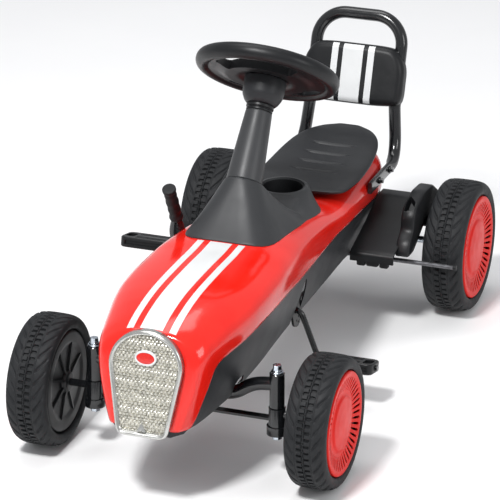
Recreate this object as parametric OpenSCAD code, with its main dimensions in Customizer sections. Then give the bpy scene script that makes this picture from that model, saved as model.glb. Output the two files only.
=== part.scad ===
// Child's pedal go-kart: moulded teardrop body on a tubular frame.
// Nose towards -Y, rider's left towards +X, up is +Z, floor at Z = 0. Millimetres.

/* [Wheels] */
// radius of the front tyres
front_r = 110; // [109:0.5:111]
// radius of the rear tyres
rear_r = 118; // [117:0.5:119]
// width of the front tyres
front_w = 72; // [70:1:73]
// width of the rear tyres
rear_w = 76; // [74:1:77]
// distance between the two axles
wheelbase = 771; // [768:1:774]

/* [Drive] */
// throw of each pedal crank
crank_throw = 86; // [82:1:88]
// pitch radius of the front chain wheel
front_sprocket = 34; // [32:1:36]
// pitch radius of the rear chain wheel
rear_sprocket = 26; // [25:1:28]

/* [Steering] */
// outer radius of the steering wheel
wheel_rim_r = 127.5; // [122:0.5:128]
// thickness of the steering wheel rim
rim_thick = 24; // [22:1:26]
// lean of the steering column from vertical
column_tilt = 36.3; // [36:0.1:36.6]

/* [Body] */
// wall of the moulded shells
wall = 3; // [2.5:0.5:3.5]
// diameter of the backrest tube
hoop_d = 22; // [20:1:24]
// diameter of the cup pocket
pocket_d = 72; // [66:2:76]

/* [Hidden] */
$fn = 48;
front_y = -358;
rear_y = front_y + wheelbase;
front_x = 238.5;
rear_x = 229.9;
king_x = 158;
arm_x = 158;
arm_y = -328;
rod_z = 86;
crank_y = -55;
crank_z = 158;
chain_x = 34;
pedal_x = 180;
tilt = column_tilt;
wheel_c = [0, 34.9, 544.5];
pocket_c = [0, 113, 310];
fit = 0.05;
lever_x = 119;
lever_y = -82;
lever_z = 264;
brake_y = 255;
brake_z = 182;
link_z = 235;
seat_bolt_y = [230, 400];
axle_bush_x = 58;

// ---------------------------------------------------------------- body lines
// Stations along the body: place, crown height, half width at the shoulder,
// half width at the lower edge, shoulder height, squareness of the top.
BODY = [
  [-507, 286, 72, 50, 238, 2.3], [-505, 290, 79, 56, 240, 2.4],
  [-498, 294, 86, 62, 242, 2.4],
  [-485, 299, 92, 69, 245, 2.5], [-463, 305.5, 98, 76, 248, 2.5],
  [-445, 309, 102.5, 80, 250, 2.55],
  [-427, 312, 106.5, 83, 252, 2.6], [-385, 316, 115, 87, 257, 2.7],
  [-340, 317.5, 121, 88, 261, 2.8], [-286, 318, 123, 88, 263, 2.9],
  [-230, 317.5, 122, 87, 263, 3], [-189, 319, 119, 85, 262, 3.1],
  [-120, 317, 113.5, 82, 258, 3.1], [-55, 311, 108, 80, 252, 3.1],
  [20, 300, 102, 78, 245, 3], [90, 286, 97, 77, 238, 3],
  [150, 271, 93.5, 76, 232, 3], [200, 262, 91, 75, 228, 3],
  [280, 262, 88, 74, 224, 3], [360, 267, 85, 73, 222, 3],
  [420, 272, 80, 68, 222, 3], [452, 273, 68, 58, 222, 2.8],
  [468, 270, 46, 38, 224, 2.6]];
base_z = 139;
lean_k = 0.194;
function lean(y) = lean_k * min(1, max(0, (-400 - y) / 80));
function sgn_pow(c, n) = sign(c) * pow(abs(c), 2 / n);
// height of the seam between the upper shell and the side panels
SEAM = [[-520, 139], [-485, 139], [-479, 150], [-475, 178], [-470, 203],
  [-463, 228], [-450, 237], [-440, 238.5], [-400, 242], [-350, 248],
  [-300, 251], [-250, 251], [-200, 248], [-100, 237], [0, 231.5],
  [120, 226.5], [200, 218.5], [290, 211.5], [390, 203], [600, 203]];
function seam_z(y) = lookup(y, SEAM);
// half width of the flank at a height below the shoulder
function flank(s, z, t) =
  let (f = max(0, min(1, (z - base_z) / (s[4] - base_z))))
  s[3] - t + (s[2] - s[3]) * (1 - pow(1 - f, 1.5));
// one side of the upper shell: k runs 0 at the seam to 12 at the crown
function side_pt(s, t, k) =
  k < 4
    ? let (z = seam_z(s[0]) + (s[4] - seam_z(s[0])) * k / 4) [flank(s, z, t), z]
    : let (a = (k - 4) / 8 * 90, w = s[2] - t, c = s[1] - t)
      [w * sgn_pow(cos(a), s[5]), s[4] + (c - s[4]) * sgn_pow(sin(a), s[5])];
function place(s, p, dy) = [p[0], s[0] + dy + lean(s[0]) * (p[1] - 300), p[1]];
function half(s, t) = [for (k = [0 : 12]) side_pt(s, t, k)];
function arch(s, t) = concat(half(s, t),
  [for (k = [11 : -1 : 0]) let (p = side_pt(s, t, k)) [-p[0], p[1]]]);
function rev(v) = [for (i = [len(v) - 1 : -1 : 0]) v[i]];
function flat(v) = [for (a = v) for (b = a) b];
// height of the body surface at any place
function body_top(x, y) =
  let (c = lookup(y, [for (s = BODY) [s[0], s[1]]]),
    w = lookup(y, [for (s = BODY) [s[0], s[2]]]),
    h = lookup(y, [for (s = BODY) [s[0], s[4]]]),
    n = lookup(y, [for (s = BODY) [s[0], s[5]]]))
  h + (c - h) * pow(max(0, 1 - pow(min(1, abs(x) / w), n)), 1 / n);

// Closed solid through a list of rings of equal length.
module loft(rings) {
  m = len(rings[0]);
  n = len(rings);
  polyhedron(points = flat(rings), faces = concat(
    [[for (j = [0 : m - 1]) j]],
    [for (i = [0 : n - 2]) for (j = [0 : m - 1])
      [i * m + j, (i + 1) * m + j, (i + 1) * m + (j + 1) % m,
       i * m + (j + 1) % m]],
    [[for (j = [m - 1 : -1 : 0]) (n - 1) * m + j]]));
}
// The same without end caps, the last ring joined back to the first.
module loft_loop(rings) {
  m = len(rings[0]);
  n = len(rings);
  polyhedron(points = flat(rings), faces = [for (i = [0 : n - 1])
    for (j = [0 : m - 1]) [i * m + j, ((i + 1) % n) * m + j,
      ((i + 1) % n) * m + (j + 1) % m, i * m + (j + 1) % m]]);
}
module tube_x(x0, x1, y, z, d) {
  translate([x0, y, z]) rotate([0, 90, 0]) cylinder(h = x1 - x0, d = d);
}
module rod(a, b, d) {
  v = b - a;
  l = norm(v);
  translate(a) rotate([0, acos(v[2] / l), atan2(v[1], v[0])])
    cylinder(h = l, d = d);
}
module ball(p, d) { translate(p) sphere(d = d + 1); }
// along the steering column: z runs up the column from the wheel centre
module on_column() { translate(wheel_c) rotate([-tilt, 0, 0]) children(); }

// ---------------------------------------------------------------- frame
module frame_spine() {
  color("#1b1b1c") difference() {
    union() {
      translate([-15, -372, 145]) cube([30, 812, 26]);
      tube_x(-72, 22, crank_y, crank_z, 26);
      translate([44, crank_y - 16, 145]) cube([28, 32, 26]);
      translate([-15, crank_y + 30, 152]) cube([87, 22, 12]);
      translate([60, crank_y, 145]) cube([12, 52, 19]);
      translate([-61, rear_y - 14, 152]) cube([122, 28, 18]);
      for (s = [-1, 1])
        translate([s * axle_bush_x - 3, rear_y - 20, 98]) cube([6, 40, 69]);
      // saddle and ears for the brake pivot
      translate([-51, 262, 168]) cube([102, 14, 10]);
      for (s = [-1, 1]) translate([s * 48 - 3, 247, 168]) cube([6, 29, 22]);
      rod([0, -228, 171], [0, -203, 205], 22);
    }
    tube_x(-80, 80, crank_y, crank_z, 18);
    tube_x(-80, 80, rear_y, rear_r, 20);
    tube_x(-80, 80, brake_y, brake_z, 9 + 2 * fit);
    on_column() translate([0, 0, -520]) cylinder(h = 260, d = 16);
    translate([24, crank_y - front_sprocket - 8, 100])
      cube([19, 2 * front_sprocket + 16, 120]);
  }
}
module beam_half(s) {
  rod([s * 84, front_y, 134], [s * 118, front_y, 158], 22);
  rod([s * 118, front_y, 158], [s * (king_x - 3), front_y, 162], 22);
  for (p = [[s * 84, front_y, 134], [s * 118, front_y, 158]])
    translate(p) sphere(d = 23.4);
}
module front_beam() {
  color("#161617") difference() {
    union() {
      tube_x(-84, 84, front_y, 134, 22);
      beam_half(1);
      beam_half(-1);
      for (s = [-1, 1]) translate([s * king_x, front_y, 122])
        cylinder(h = 60, d = 25);
      translate([-17, front_y - 14, 134]) cube([34, 28, 12]);
    }
    for (s = [-1, 1]) translate([s * king_x, front_y, 110])
      cylinder(h = 90, d = 10);
    translate([-15, front_y - 30, 145]) cube([30, 60, 20]);
  }
}
module kingpin_bolts() {
  color("#b9bcc0") for (s = [-1, 1]) translate([s * king_x, front_y, 0]) {
    translate([0, 0, 68]) cylinder(h = 116, d = 10);
    translate([0, 0, 182]) cylinder(h = 3, d = 21);
    translate([0, 0, 185]) cylinder(h = 3, d = 17);
    translate([0, 0, 188]) cylinder(h = 8, d = 15, $fn = 6);
    translate([0, 0, 66]) cylinder(h = 8, d = 17, $fn = 6);
  }
}

// ---------------------------------------------------------------- body
// Skin open underneath and at the back, closed by a wall at the nose.
module skin() {
  m = 25;
  n = len(BODY);
  f = 2;
  b = n * m;
  q = n - f;
  polyhedron(points = concat(
    [for (s = BODY) for (p = arch(s, 0)) place(s, p, 0)],
    [for (i = [f : n - 1]) for (p = arch(BODY[i], wall))
      place(BODY[i], p, i == f ? 1.5 : 0)]),
  faces = concat(
    [[for (j = [0 : m - 1]) j]],
    [[for (j = [m - 1 : -1 : 0]) b + j]],
    [for (i = [0 : n - 2]) for (j = [0 : m - 2])
      [i * m + j, (i + 1) * m + j, (i + 1) * m + j + 1, i * m + j + 1]],
    [for (i = [0 : q - 2]) for (j = [0 : m - 2])
      [b + i * m + j, b + i * m + j + 1, b + (i + 1) * m + j + 1,
       b + (i + 1) * m + j]],
    [for (i = [0 : q - 2])
      [b + i * m, b + (i + 1) * m, (i + f + 1) * m, (i + f) * m]],
    [for (i = [0 : q - 2]) let (o = m - 1)
      [(i + f) * m + o, (i + f + 1) * m + o, b + (i + 1) * m + o, b + i * m + o]],
    [[0, m - 1, 2 * m - 1, 3 * m - 1, b + m - 1, b, 2 * m, m]],
    [for (j = [0 : m - 2]) let (o = (n - 1) * m + j, i = b + (q - 1) * m + j)
      [i, i + 1, o + 1, o]]));
}
module body_shell() {
  color("#e2231a") difference() {
    skin();
    translate([-34, -165, 240]) cube([68, 140, 120]);
    translate([0, pocket_c[1], 200]) cylinder(h = 200, d = pocket_d + 14);
    tube_x(-140, -60, lever_y, lever_z, 12);
    for (s = [-1, 1]) for (y = seat_bolt_y) translate([s * 40, y, 200])
      cylinder(h = 100, d = 7);
  }
}
function panel_pt(s, t, k) =
  let (z = base_z + (seam_z(s[0]) - 0.7 - base_z) * k / 4) [flank(s, z, t), z];
module side_panel() {
  st = [for (s = BODY) if (s[0] > -462 && s[0] < 440) s];
  color("#3a3c3f") difference() {
    loft([for (s = st) concat([for (k = [0 : 4]) place(s, panel_pt(s, 0.6, k), 0)],
      [for (k = [4 : -1 : 0]) place(s, panel_pt(s, 0.6 + wall, k), 0)])]);
    tube_x(40, 140, crank_y, crank_z - 2, 31);
    translate([40, crank_y - 15.5, 100]) cube([100, 31, crank_z - 102]);
    translate([40, front_y - 17, 100]) cube([100, 34, 62]);
  }
}
module side_panel_left() { side_panel(); }
module side_panel_right() { mirror([1, 0, 0]) side_panel(); }
// lip under the nose that carries the grille foot
module nose_tray() {
  color("#2b2c2e") hull() {
    translate([-44, -537, 128]) cube([88, 3, 9]);
    translate([-60, -520, 130]) cube([120, 3, 8]);
    translate([-64, -470, 132]) cube([128, 3, 6]);
  }
}
// raised white bands along the hood
module hood_band(x0, x1) {
  st = [for (s = BODY) if (s[0] > -500 && s[0] < -184) s];
  xs = [x0, (x0 + x1) / 2, x1];
  loft([for (s = st) concat(
    [for (x = xs) place(s, [x, body_top(x, s[0]) + 0.9], 0)],
    [for (x = rev(xs)) place(s, [x, body_top(x, s[0]) + 0.35], 0)])]);
}
module hood_stripes() {
  color("#f4f4f2") {
    hood_band(-19, 19);
    hood_band(30, 41.5);
    hood_band(-41.5, -30);
  }
}
// outline of the grille, tall arch narrowing to the foot
function grille_pts(g) = concat(
  [[-36 - g, 128 - g], [-44 - g, 136]], [[-60 - g, 225]],
  [for (a = [180 : -15 : 0]) [(62 + g) * cos(a), 240 + (57 + g) * sin(a)]],
  [[60 + g, 225], [44 + g, 136], [36 + g, 128 - g]]);
module grille_plate(g, y0, th) {
  multmatrix([[1, 0, 0, 0], [0, 1, lean_k, y0 - lean_k * 300], [0, 0, 1, 0],
      [0, 0, 0, 1]])
    rotate([90, 0, 0]) translate([0, 0, -th]) linear_extrude(th)
      polygon(grille_pts(g));
}
module grille_frame() {
  color("#cfd0d2") difference() {
    grille_plate(0, -521, 13);
    grille_plate(-8, -525, 20);
  }
}
module grille_panel() {
  color("#bfc0bb") grille_plate(-8.4, -518, 4);
}
module badge() {
  color("#c8201c") multmatrix([[1, 0, 0, 0], [0, 1, lean_k, -518.4 - lean_k * 300],
      [0, 0, 1, 0], [0, 0, 0, 1]])
    translate([0, 0, 254]) rotate([90, 0, 0]) linear_extrude(2.6)
      polygon([for (a = [0 : 12 : 348]) [18.5 * cos(a), 12.2 * sin(a)]]);
}

// ---------------------------------------------------------------- shroud
// outlines on the body: a soft box round the column, and one round the pocket
function box_pt(a, hw, y0, y1, n) =
  [hw * sgn_pow(cos(a), n), (y0 + y1) / 2 + (y1 - y0) / 2 * sgn_pow(sin(a), n)];
function on_body(p) = [p[0], p[1], body_top(p[0], p[1]) + 0.5];
function column_pt(a, r, z) = let (x = r * cos(a), y = r * sin(a))
  [x, wheel_c[1] + y * cos(tilt) + z * sin(tilt),
   wheel_c[2] - y * sin(tilt) + z * cos(tilt)];
angles = [for (i = [0 : 31]) i * 11.25];
function cone_base(t) = [for (a = angles) on_body(box_pt(a, 81 - t, -186 + t, 40 - t, 5))];
function cone_top(t, z) = [for (a = angles) column_pt(a, 33 - t, z)];
function mix(a, b, k) = [for (i = [0 : len(a) - 1]) a[i] + (b[i] - a[i]) * k];
function pinch(v, t) = [for (p = v) [p[0] * t, p[1] + (-100 - p[1]) * (1 - t), p[2]]];
function cup_ring(r, z) = [for (a = angles)
  [r * cos(a), pocket_c[1] + r * sin(a), z]];
function cup_base(t) = [for (a = angles) on_body(box_pt(a, 77 - t, -30 + t, 152 - t, 3.2))];
module column_shroud() {
  pr = pocket_d / 2;
  color("#47494c") difference() {
    union() {
      loft_loop([cone_base(0), pinch(mix(cone_base(0), cone_top(0, -197), 0.5), 0.96),
        cone_top(0, -197), cone_top(wall, -197),
        pinch(mix(cone_base(wall), cone_top(wall, -197), 0.5), 0.96), cone_base(wall)]);
      loft([cup_ring(pr + 3, 250), cup_ring(pr + 3, 302),
        mix(cup_base(wall), cup_ring(pr + 5, 303), 0.5), cup_base(wall), cup_base(0),
        mix(cup_base(0), cup_ring(pr + 9, 309), 0.6),
        cup_ring(pr + 6, 309), cup_ring(pr + 1.2, 310), cup_ring(pr, 308.5),
        cup_ring(pr, 253)]);
    }
    on_column() translate([0, 0, -330]) cylinder(h = 260, d = 44);
  }
}
module column_cover() {
  color("#515356") on_column() difference() {
    translate([0, 0, -195]) cylinder(h = 122, r1 = 30.5, r2 = 22.5);
    translate([0, 0, -200]) cylinder(h = 130, r = 12);
  }
}
module column_collar() {
  color("#151516") on_column() difference() {
    translate([0, 0, -72.8]) cylinder(h = 11, r = 23.5);
    translate([0, 0, -90]) cylinder(h = 40, r = 7 + fit);
  }
}

// ---------------------------------------------------------------- seat
SEAT = [[189, 60, 271, 4], [193, 76, 273, 9], [206, 85, 274, 12],
  [235, 89, 274, 13], [270, 91, 275, 14], [310, 90, 277, 14],
  [350, 87, 281, 14], [390, 81, 286, 14], [420, 72, 290, 14],
  [445, 58, 293, 13], [462, 42, 294, 11], [474, 22, 294, 6]];
function seat_ring(s) = [for (a = [0 : 15 : 345])
  [s[1] * sgn_pow(cos(a), 3.2), s[0],
   s[2] + 4 - s[3] / 2 + s[3] / 2 * sgn_pow(sin(a), 3.2)
     + 7 * pow(s[1] * sgn_pow(cos(a), 3.2) / 90, 2)]];
module seat_pan() {
  color("#2c2d30") difference() {
    loft([for (s = SEAT) seat_ring(s)]);
    for (g = [[279, 282], [316, 284], [352, 287.5], [388, 292]])
      tube_x(-37, 37, g[0], g[1], 9);
  }
}
module seat_bolts() {
  color("#9b9da0") for (y = seat_bolt_y) for (s = [-1, 1])
    translate([s * 40, y, y < 300 ? 236 : 244]) {
      cylinder(h = 22, d = 6);
      translate([0, 0, -4]) cylinder(h = 5, d = 11, $fn = 6);
    }
}

// ---------------------------------------------------------------- backrest
hoop_k = 18.8;
module hoop_plane() { translate([0, 489.6, 335]) rotate([-hoop_k, 0, 0]) children(); }
module backrest_hoop() {
  top = 161;
  r = 52;
  color("#121213") {
    hoop_plane() {
      for (s = [-1, 1]) rod([s * 80.3, 0, 0], [s * 80.3, 0, top - r], hoop_d);
      for (s = [-1, 1]) translate([s * (80.3 - r), 0, top - r])
        rotate([90, 0, 0]) rotate([0, 0, s > 0 ? 0 : 90])
          rotate_extrude(angle = 90) translate([r, 0]) circle(d = hoop_d);
      rod([-28.3, 0, top], [28.3, 0, top], hoop_d);
    }
    for (s = [-1, 1]) {
      ball([s * 80.3, 489.6, 335], hoop_d);
      rod([s * 80.3, 489.6, 335], [s * 86, 479, 276], hoop_d);
      ball([s * 86, 479, 276], hoop_d);
      rod([s * 86, 479, 276], [s * 89, 464, 252], hoop_d);
      ball([s * 89, 464, 252], hoop_d);
      rod([s * 89, 464, 252], [s * 91, 440, 242], hoop_d);
      ball([s * 91, 440, 242], hoop_d);
      hull() {
        translate([s * 91 - 4, 436, 231]) cube([8, 6, 22]);
        translate([s * 91 - 4, 318, 231]) cube([8, 4, 22]);
      }
    }
  }
}
module hoop_bolts() {
  color("#8d8f92") for (s = [-1, 1]) for (y = [362, 420])
    translate([s * 95, y, 242]) rotate([0, s * 90, 0]) {
      cylinder(h = 2.4, d = 13);
      translate([0, 0, 2]) cylinder(h = 5, d = 10, $fn = 6);
    }
}
module panel_block(grow) {
  hull() for (s = [-1, 1]) {
    for (z = [20, 80]) translate([s * 80, -14, z]) sphere(r = 16 + grow, $fn = 24);
    translate([s * 50, -16, 96]) sphere(r = 12 + grow, $fn = 24);
    translate([s * 50, -16, 10]) sphere(r = 12 + grow, $fn = 24);
  }
}
module backrest_panel() {
  color("#1c1c1e") hoop_plane() difference() {
    panel_block(0);
    for (s = [-1, 1]) translate([s * 80.3, 0, -40])
      cylinder(h = 200, d = hoop_d + 0.8);
  }
}
module backrest_stripes() {
  color("#f4f4f2") hoop_plane() for (b = [[-19, 19], [28, 40], [-40, -28]])
    translate([b[0], -31.2, 14]) cube([b[1] - b[0], 0.9, 76]);
}

// ---------------------------------------------------------------- rear cover
module cover_side(s) {
  translate([s * 172 - 13, 0, 0]) rotate([90, 0, 90]) linear_extrude(26)
    polygon([[246, 150], [262, 172], [284, 186], [283, 210], [300, 228],
      [345, 240], [395, 236], [436, 210], [452, 170], [452, 128], [440, 128],
      [436, 165], [410, 184], [350, 184], [305, 160], [296, 147]]);
}
module rear_cover() {
  color("#242527") difference() {
    union() {
      translate([-160, 0, 0]) rotate([90, 0, 90]) linear_extrude(320)
        polygon([[226, 146], [230, 156], [300, 176], [392, 206], [420, 205],
          [452, 176], [452, 128], [448, 128], [448, 174], [417, 200],
          [393, 201], [301, 171], [236, 151], [236, 146]]);
      cover_side(1);
      cover_side(-1);
    }
    // cut round the body tail
    translate([-89.5, 200, 100]) cube([179, 238, 200]);
    translate([-82, 437, 100]) cube([164, 6, 200]);
  }
}

// ---------------------------------------------------------------- wheels
// Section of a tyre: radius outwards, axle to the right.
function tyre_pts(r, w) = let (h = w / 2, b = r * 0.787) [
  [b, -h + 8], [b + 3, -h + 2], [r - 14, -h], [r - 6, -h + 3],
  [r - 1.5, -h + 10], [r - 0.4, -15], [r - 3, -14], [r - 3, -12], [r, -11],
  [r, -1.5], [r - 3, -1], [r - 3, 1], [r, 1.5], [r, 11], [r - 3, 12],
  [r - 3, 14], [r - 0.4, 15], [r - 1.5, h - 10], [r - 6, h - 3],
  [r - 14, h], [b + 3, h - 2], [b, h - 8]];
module about_x() { rotate([0, 90, 0]) children(); }
module tyre(r, w) {
  color("#1d1e20") about_x() rotate_extrude() polygon(tyre_pts(r, w));
}
// black ribbed disc with its hub, on the inner side
module disc(r, w) {
  b = r * 0.787;
  h = w / 2;
  color("#17181a") about_x() difference() {
    union() {
      rotate_extrude() polygon([[6 + fit, -h - 1], [17, -h - 1], [20, -h + 9],
        [b - 26, -h + 10], [b - 20, -h + 4], [b - 5, -h + 4], [b - 0.4, -h + 8],
        [b - 0.4, h - 8], [b - 4, h - 8], [b - 4, -h + 12], [b - 20, -h + 12],
        [b - 26, -h + 14], [19, -h + 14], [17, h - 8], [6 + fit, h - 8]]);
    }
    for (a = [0 : 45 : 315]) rotate(a) translate([(b - 3) / 2 + 6, 0, -h + 5])
      cylinder(h = 14, d = 11);
  }
}
// red dished cap with a ring of radial slots, on the outer side
module cap(r, w) {
  b = r * 0.787;
  h = w / 2;
  color("#d8241c") about_x() difference() {
    rotate_extrude() polygon([[0, h - 3], [12, h - 3], [b * 0.52, h - 1],
      [b * 0.6, h - 3], [b * 0.86, h - 4.5], [b * 0.93, h - 0.5],
      [b - 1, h - 1.5], [b - 0.8, h - 7.4], [b * 0.92, h - 7.4],
      [b * 0.86, h - 7.4], [b * 0.6, h - 6.5], [b * 0.52, h - 5], [12, h - 7],
      [0, h - 7]]);
    for (a = [0 : 15 : 345]) rotate(a) translate([b * 0.62, -1.6, h - 12])
      cube([b * 0.24, 3.2, 20]);
  }
}
module at_front(s) { translate([s * front_x, front_y, front_r]) rotate([0, 0, s > 0 ? 0 : 180]) children(); }
module at_rear(s) { translate([s * rear_x, rear_y, rear_r]) rotate([0, 0, s > 0 ? 0 : 180]) children(); }
module front_left_tyre() { at_front(1) tyre(front_r, front_w); }
module front_left_disc() { at_front(1) disc(front_r, front_w); }
module front_left_cap() { at_front(1) cap(front_r, front_w); }
module front_right_tyre() { at_front(-1) tyre(front_r, front_w); }
module front_right_disc() { at_front(-1) disc(front_r, front_w); }
module front_right_cap() { at_front(-1) cap(front_r, front_w); }
module rear_left_tyre() { at_rear(1) tyre(rear_r, rear_w); }
module rear_left_disc() { at_rear(1) disc(rear_r, rear_w); }
module rear_left_cap() { at_rear(1) cap(rear_r, rear_w); }
module rear_right_tyre() { at_rear(-1) tyre(rear_r, rear_w); }
module rear_right_disc() { at_rear(-1) disc(rear_r, rear_w); }
module rear_right_cap() { at_rear(-1) cap(rear_r, rear_w); }

// ---------------------------------------------------------------- steering
module steering_shaft() {
  color("#8f9194") on_column() {
    translate([0, 0, -556]) cylinder(h = 536, d = 14);
    hull() {
      translate([0, 0, -560]) cylinder(h = 6, d = 20);
      translate([0, -30, -560]) cylinder(h = 6, d = 14);
    }
    translate([0, -30, -596]) cylinder(h = 38, d = 6);
  }
}
module steering_wheel() {
  rr = rim_thick / 2;
  mid = wheel_rim_r - rr;
  color("#1d1e20") on_column() difference() {
    union() {
      rotate_extrude($fn = 72) translate([mid, 0]) scale([1, 0.85])
        circle(r = rr, $fn = 24);
      translate([0, 0, -14]) cylinder(h = 12, r1 = 40, r2 = 52);
      for (a = [0, 90, 180]) rotate(a) hull() {
        translate([34, -15, -12]) cube([4, 30, 8]);
        translate([mid - 4, -19, -5]) cube([4, 38, 8]);
      }
    }
    translate([0, 0, -30]) cylinder(h = 40, r = 7);
  }
}
module wheel_boot() {
  color("#202123") on_column() translate([0, 0, -61.4]) rotate_extrude()
    polygon([[7, 0], [24, 0], [32, 8], [34, 20], [32.5, 32], [36, 47.2], [7, 47.2]]);
}
module wheel_cap() {
  color("#26272a") on_column() translate([0, 0, -1.8])
    rotate_extrude() polygon([[0, 0], [44, 0], [40, 6], [24, 10], [0, 11]]);
}
module tie_rod() {
  color("#1a1a1b") difference() {
    union() {
      translate([-arm_x, arm_y - 7, rod_z - 2.5]) cube([2 * arm_x, 14, 5]);
      translate([-16, -352, rod_z - 2.5]) cube([32, 34, 5]);
      for (s = [-1, 1]) translate([s * arm_x, arm_y, rod_z - 2.5])
        cylinder(h = 5, d = 18);
    }
    translate([-4, -347, rod_z - 6]) cube([8, 24, 12]);
    for (s = [-1, 1]) translate([s * arm_x, arm_y, rod_z - 6])
      cylinder(h = 12, r = 4.5);
  }
}
module knuckle(s) {
  x = s * king_x;
  color("#131314") difference() {
    union() {
      translate([x, front_y, 90]) cylinder(h = 31.4, d = 28);
      translate([x, front_y, 75]) cylinder(h = 15.2, d = 34);
      tube_x(s > 0 ? x : -266, s > 0 ? 266 : x, front_y, front_r, 12);
      hull() {
        translate([x, front_y, 76]) cylinder(h = 6, d = 26);
        translate([s * arm_x, arm_y, 76]) cylinder(h = 6, d = 18);
      }
      translate([s * arm_x, arm_y, 76]) cylinder(h = 15, d = 8);
    }
    translate([x, front_y, 60]) cylinder(h = 80, r = 5 + fit);
  }
}
module knuckle_left() { knuckle(1); }
module knuckle_right() { knuckle(-1); }

// ---------------------------------------------------------------- drive
module rear_axle() {
  color("#8f9194") union() {
    tube_x(-259, 259, rear_y, rear_r, 12 + 2 * fit);
    for (m = [0, 1]) mirror([m, 0, 0])
      tube_x(axle_bush_x + 7, axle_bush_x + 13, rear_y, rear_r, 18);
  }
}
module axle_bushes() {
  color("#d9d7cf") for (m = [0, 1]) mirror([m, 0, 0]) difference() {
    union() {
      tube_x(axle_bush_x - 3, axle_bush_x + 3, rear_y, rear_r, 20);
      tube_x(axle_bush_x + 3, axle_bush_x + 6, rear_y, rear_r, 26);
    }
    tube_x(axle_bush_x - 9, axle_bush_x + 9, rear_y, rear_r, 12 + 4 * fit);
  }
}
module crank_bushes() {
  color("#d9d7cf") for (x = [-78, 62]) difference() {
    union() {
      tube_x(x, x + 14, crank_y, crank_z, 18);
      tube_x(x < 0 ? -78 : 72, x < 0 ? -72 : 78, crank_y, crank_z, 24);
    }
    tube_x(x - 9, x + 29, crank_y, crank_z, 10 + 2 * fit);
  }
}
module gear(x, y, z, r, n, hub) {
  step = 360 / n;
  tube_x(x - 8, x + 8, y, z, hub);
  translate([x - 1.5, y, z]) rotate([0, 90, 0]) linear_extrude(3) polygon(
    [for (i = [0 : n - 1]) for (p = [[-0.3, r], [-0.14, r + 4], [0.14, r + 4],
      [0.3, r]]) p[1] * [cos((i + p[0]) * step), sin((i + p[0]) * step)]]);
}
module crank_sprocket() {
  color("#6d6f72") difference() {
    gear(chain_x, crank_y, crank_z, front_sprocket - 2, 20, 20);
    tube_x(chain_x - 20, chain_x + 20, crank_y, crank_z, 10);
  }
}
module axle_sprocket() {
  color("#6d6f72") difference() {
    gear(chain_x, rear_y, rear_r, rear_sprocket - 2, 16, 24);
    tube_x(chain_x - 20, chain_x + 20, rear_y, rear_r, 12 + 2 * fit);
  }
}
module drive_chain() {
  color("#77797c") difference() {
    hull() {
      tube_x(chain_x - 4, chain_x + 4, crank_y, crank_z, 2 * front_sprocket + 11);
      tube_x(chain_x - 4, chain_x + 4, rear_y, rear_r, 2 * rear_sprocket + 11);
    }
    hull() {
      tube_x(chain_x - 9, chain_x + 9, crank_y, crank_z, 2 * front_sprocket + 4.4);
      tube_x(chain_x - 9, chain_x + 9, rear_y, rear_r, 2 * rear_sprocket + 4.4);
    }
  }
}
module crank_side(s) {
  a = [s * 92, crank_y, crank_z];
  b = [s * 122, crank_y, crank_z - s * (crank_throw - 8)];
  c = [s * 130, crank_y, crank_z - s * crank_throw];
  ball(a, 10);
  rod(a, b, 10);
  ball(b, 10);
  rod(b, c, 10);
  ball(c, 10);
  rod(c, [s * 230, c[1], c[2]], 10);
}
module crank_rod() {
  color("#141415") {
    tube_x(-92, 92, crank_y, crank_z, 10);
    crank_side(1);
    crank_side(-1);
  }
}
module pedal(s) {
  z = crank_z - s * crank_throw;
  color("#1c1c1e") translate([s * pedal_x, crank_y, z]) rotate([-12, 0, 0])
    difference() {
      union() {
        translate([-46, -26, -9]) cube([92, 52, 4]);
        translate([-46, -26, 5]) cube([92, 52, 4]);
        for (y = [-26, 22]) translate([-46, y, -9]) cube([92, 4, 18]);
        for (x = [-46, 42]) translate([x, -26, -9]) cube([4, 52, 18]);
        rotate([0, 90, 0]) translate([0, 0, -46]) cylinder(h = 92, d = 16);
      }
      rotate([0, 90, 0]) translate([0, 0, -60]) cylinder(h = 120, r = 5 + fit);
      for (x = [-34, -12, 10]) for (y = [-19, 10])
        translate([x, y, -20]) cube([16, 9, 40]);
    }
}
module pedal_left() { pedal(1); }
module pedal_right() { pedal(-1); }

// ---------------------------------------------------------------- brake
lever_v = [-lever_x, lever_y, lever_z];
grip_a = [-lever_x, -84, 306];
grip_b = [-lever_x, -120, 374];
module brake_lever() {
  color("#151516") {
    tube_x(-lever_x - 7, -46, lever_y, lever_z, 10);
    rod(lever_v, grip_a, 9);
    rod(grip_a, grip_a + 0.86 * (grip_b - grip_a), 8);
    ball(grip_a, 9);
    hull() {
      tube_x(-54, -46, lever_y, lever_z, 16);
      tube_x(-54, -46, lever_y, lever_z - 13, 12);
    }
  }
}
module brake_grip() {
  u = (grip_b - grip_a) / norm(grip_b - grip_a);
  color("#1f2022") difference() {
    union() {
      rod(grip_a + 3 * u, grip_b, 18);
      for (i = [0 : 5]) rod(grip_a + (10 + 10 * i) * u, grip_a + (14 + 10 * i) * u, 20);
    }
    rod(grip_a, grip_a + 0.87 * (grip_b - grip_a), 8);
  }
}
module brake_link() {
  m = [-59, lever_y + 60, link_z];
  color("#8f9194") {
    tube_x(-62, -55.4, lever_y, lever_z - 13, 12);
    rod([-59, lever_y, lever_z - 13], m, 5);
    ball(m, 5);
    rod(m, [-59, brake_y, link_z], 5);
    tube_x(-62, -55.4, brake_y, link_z, 12);
  }
}
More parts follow.
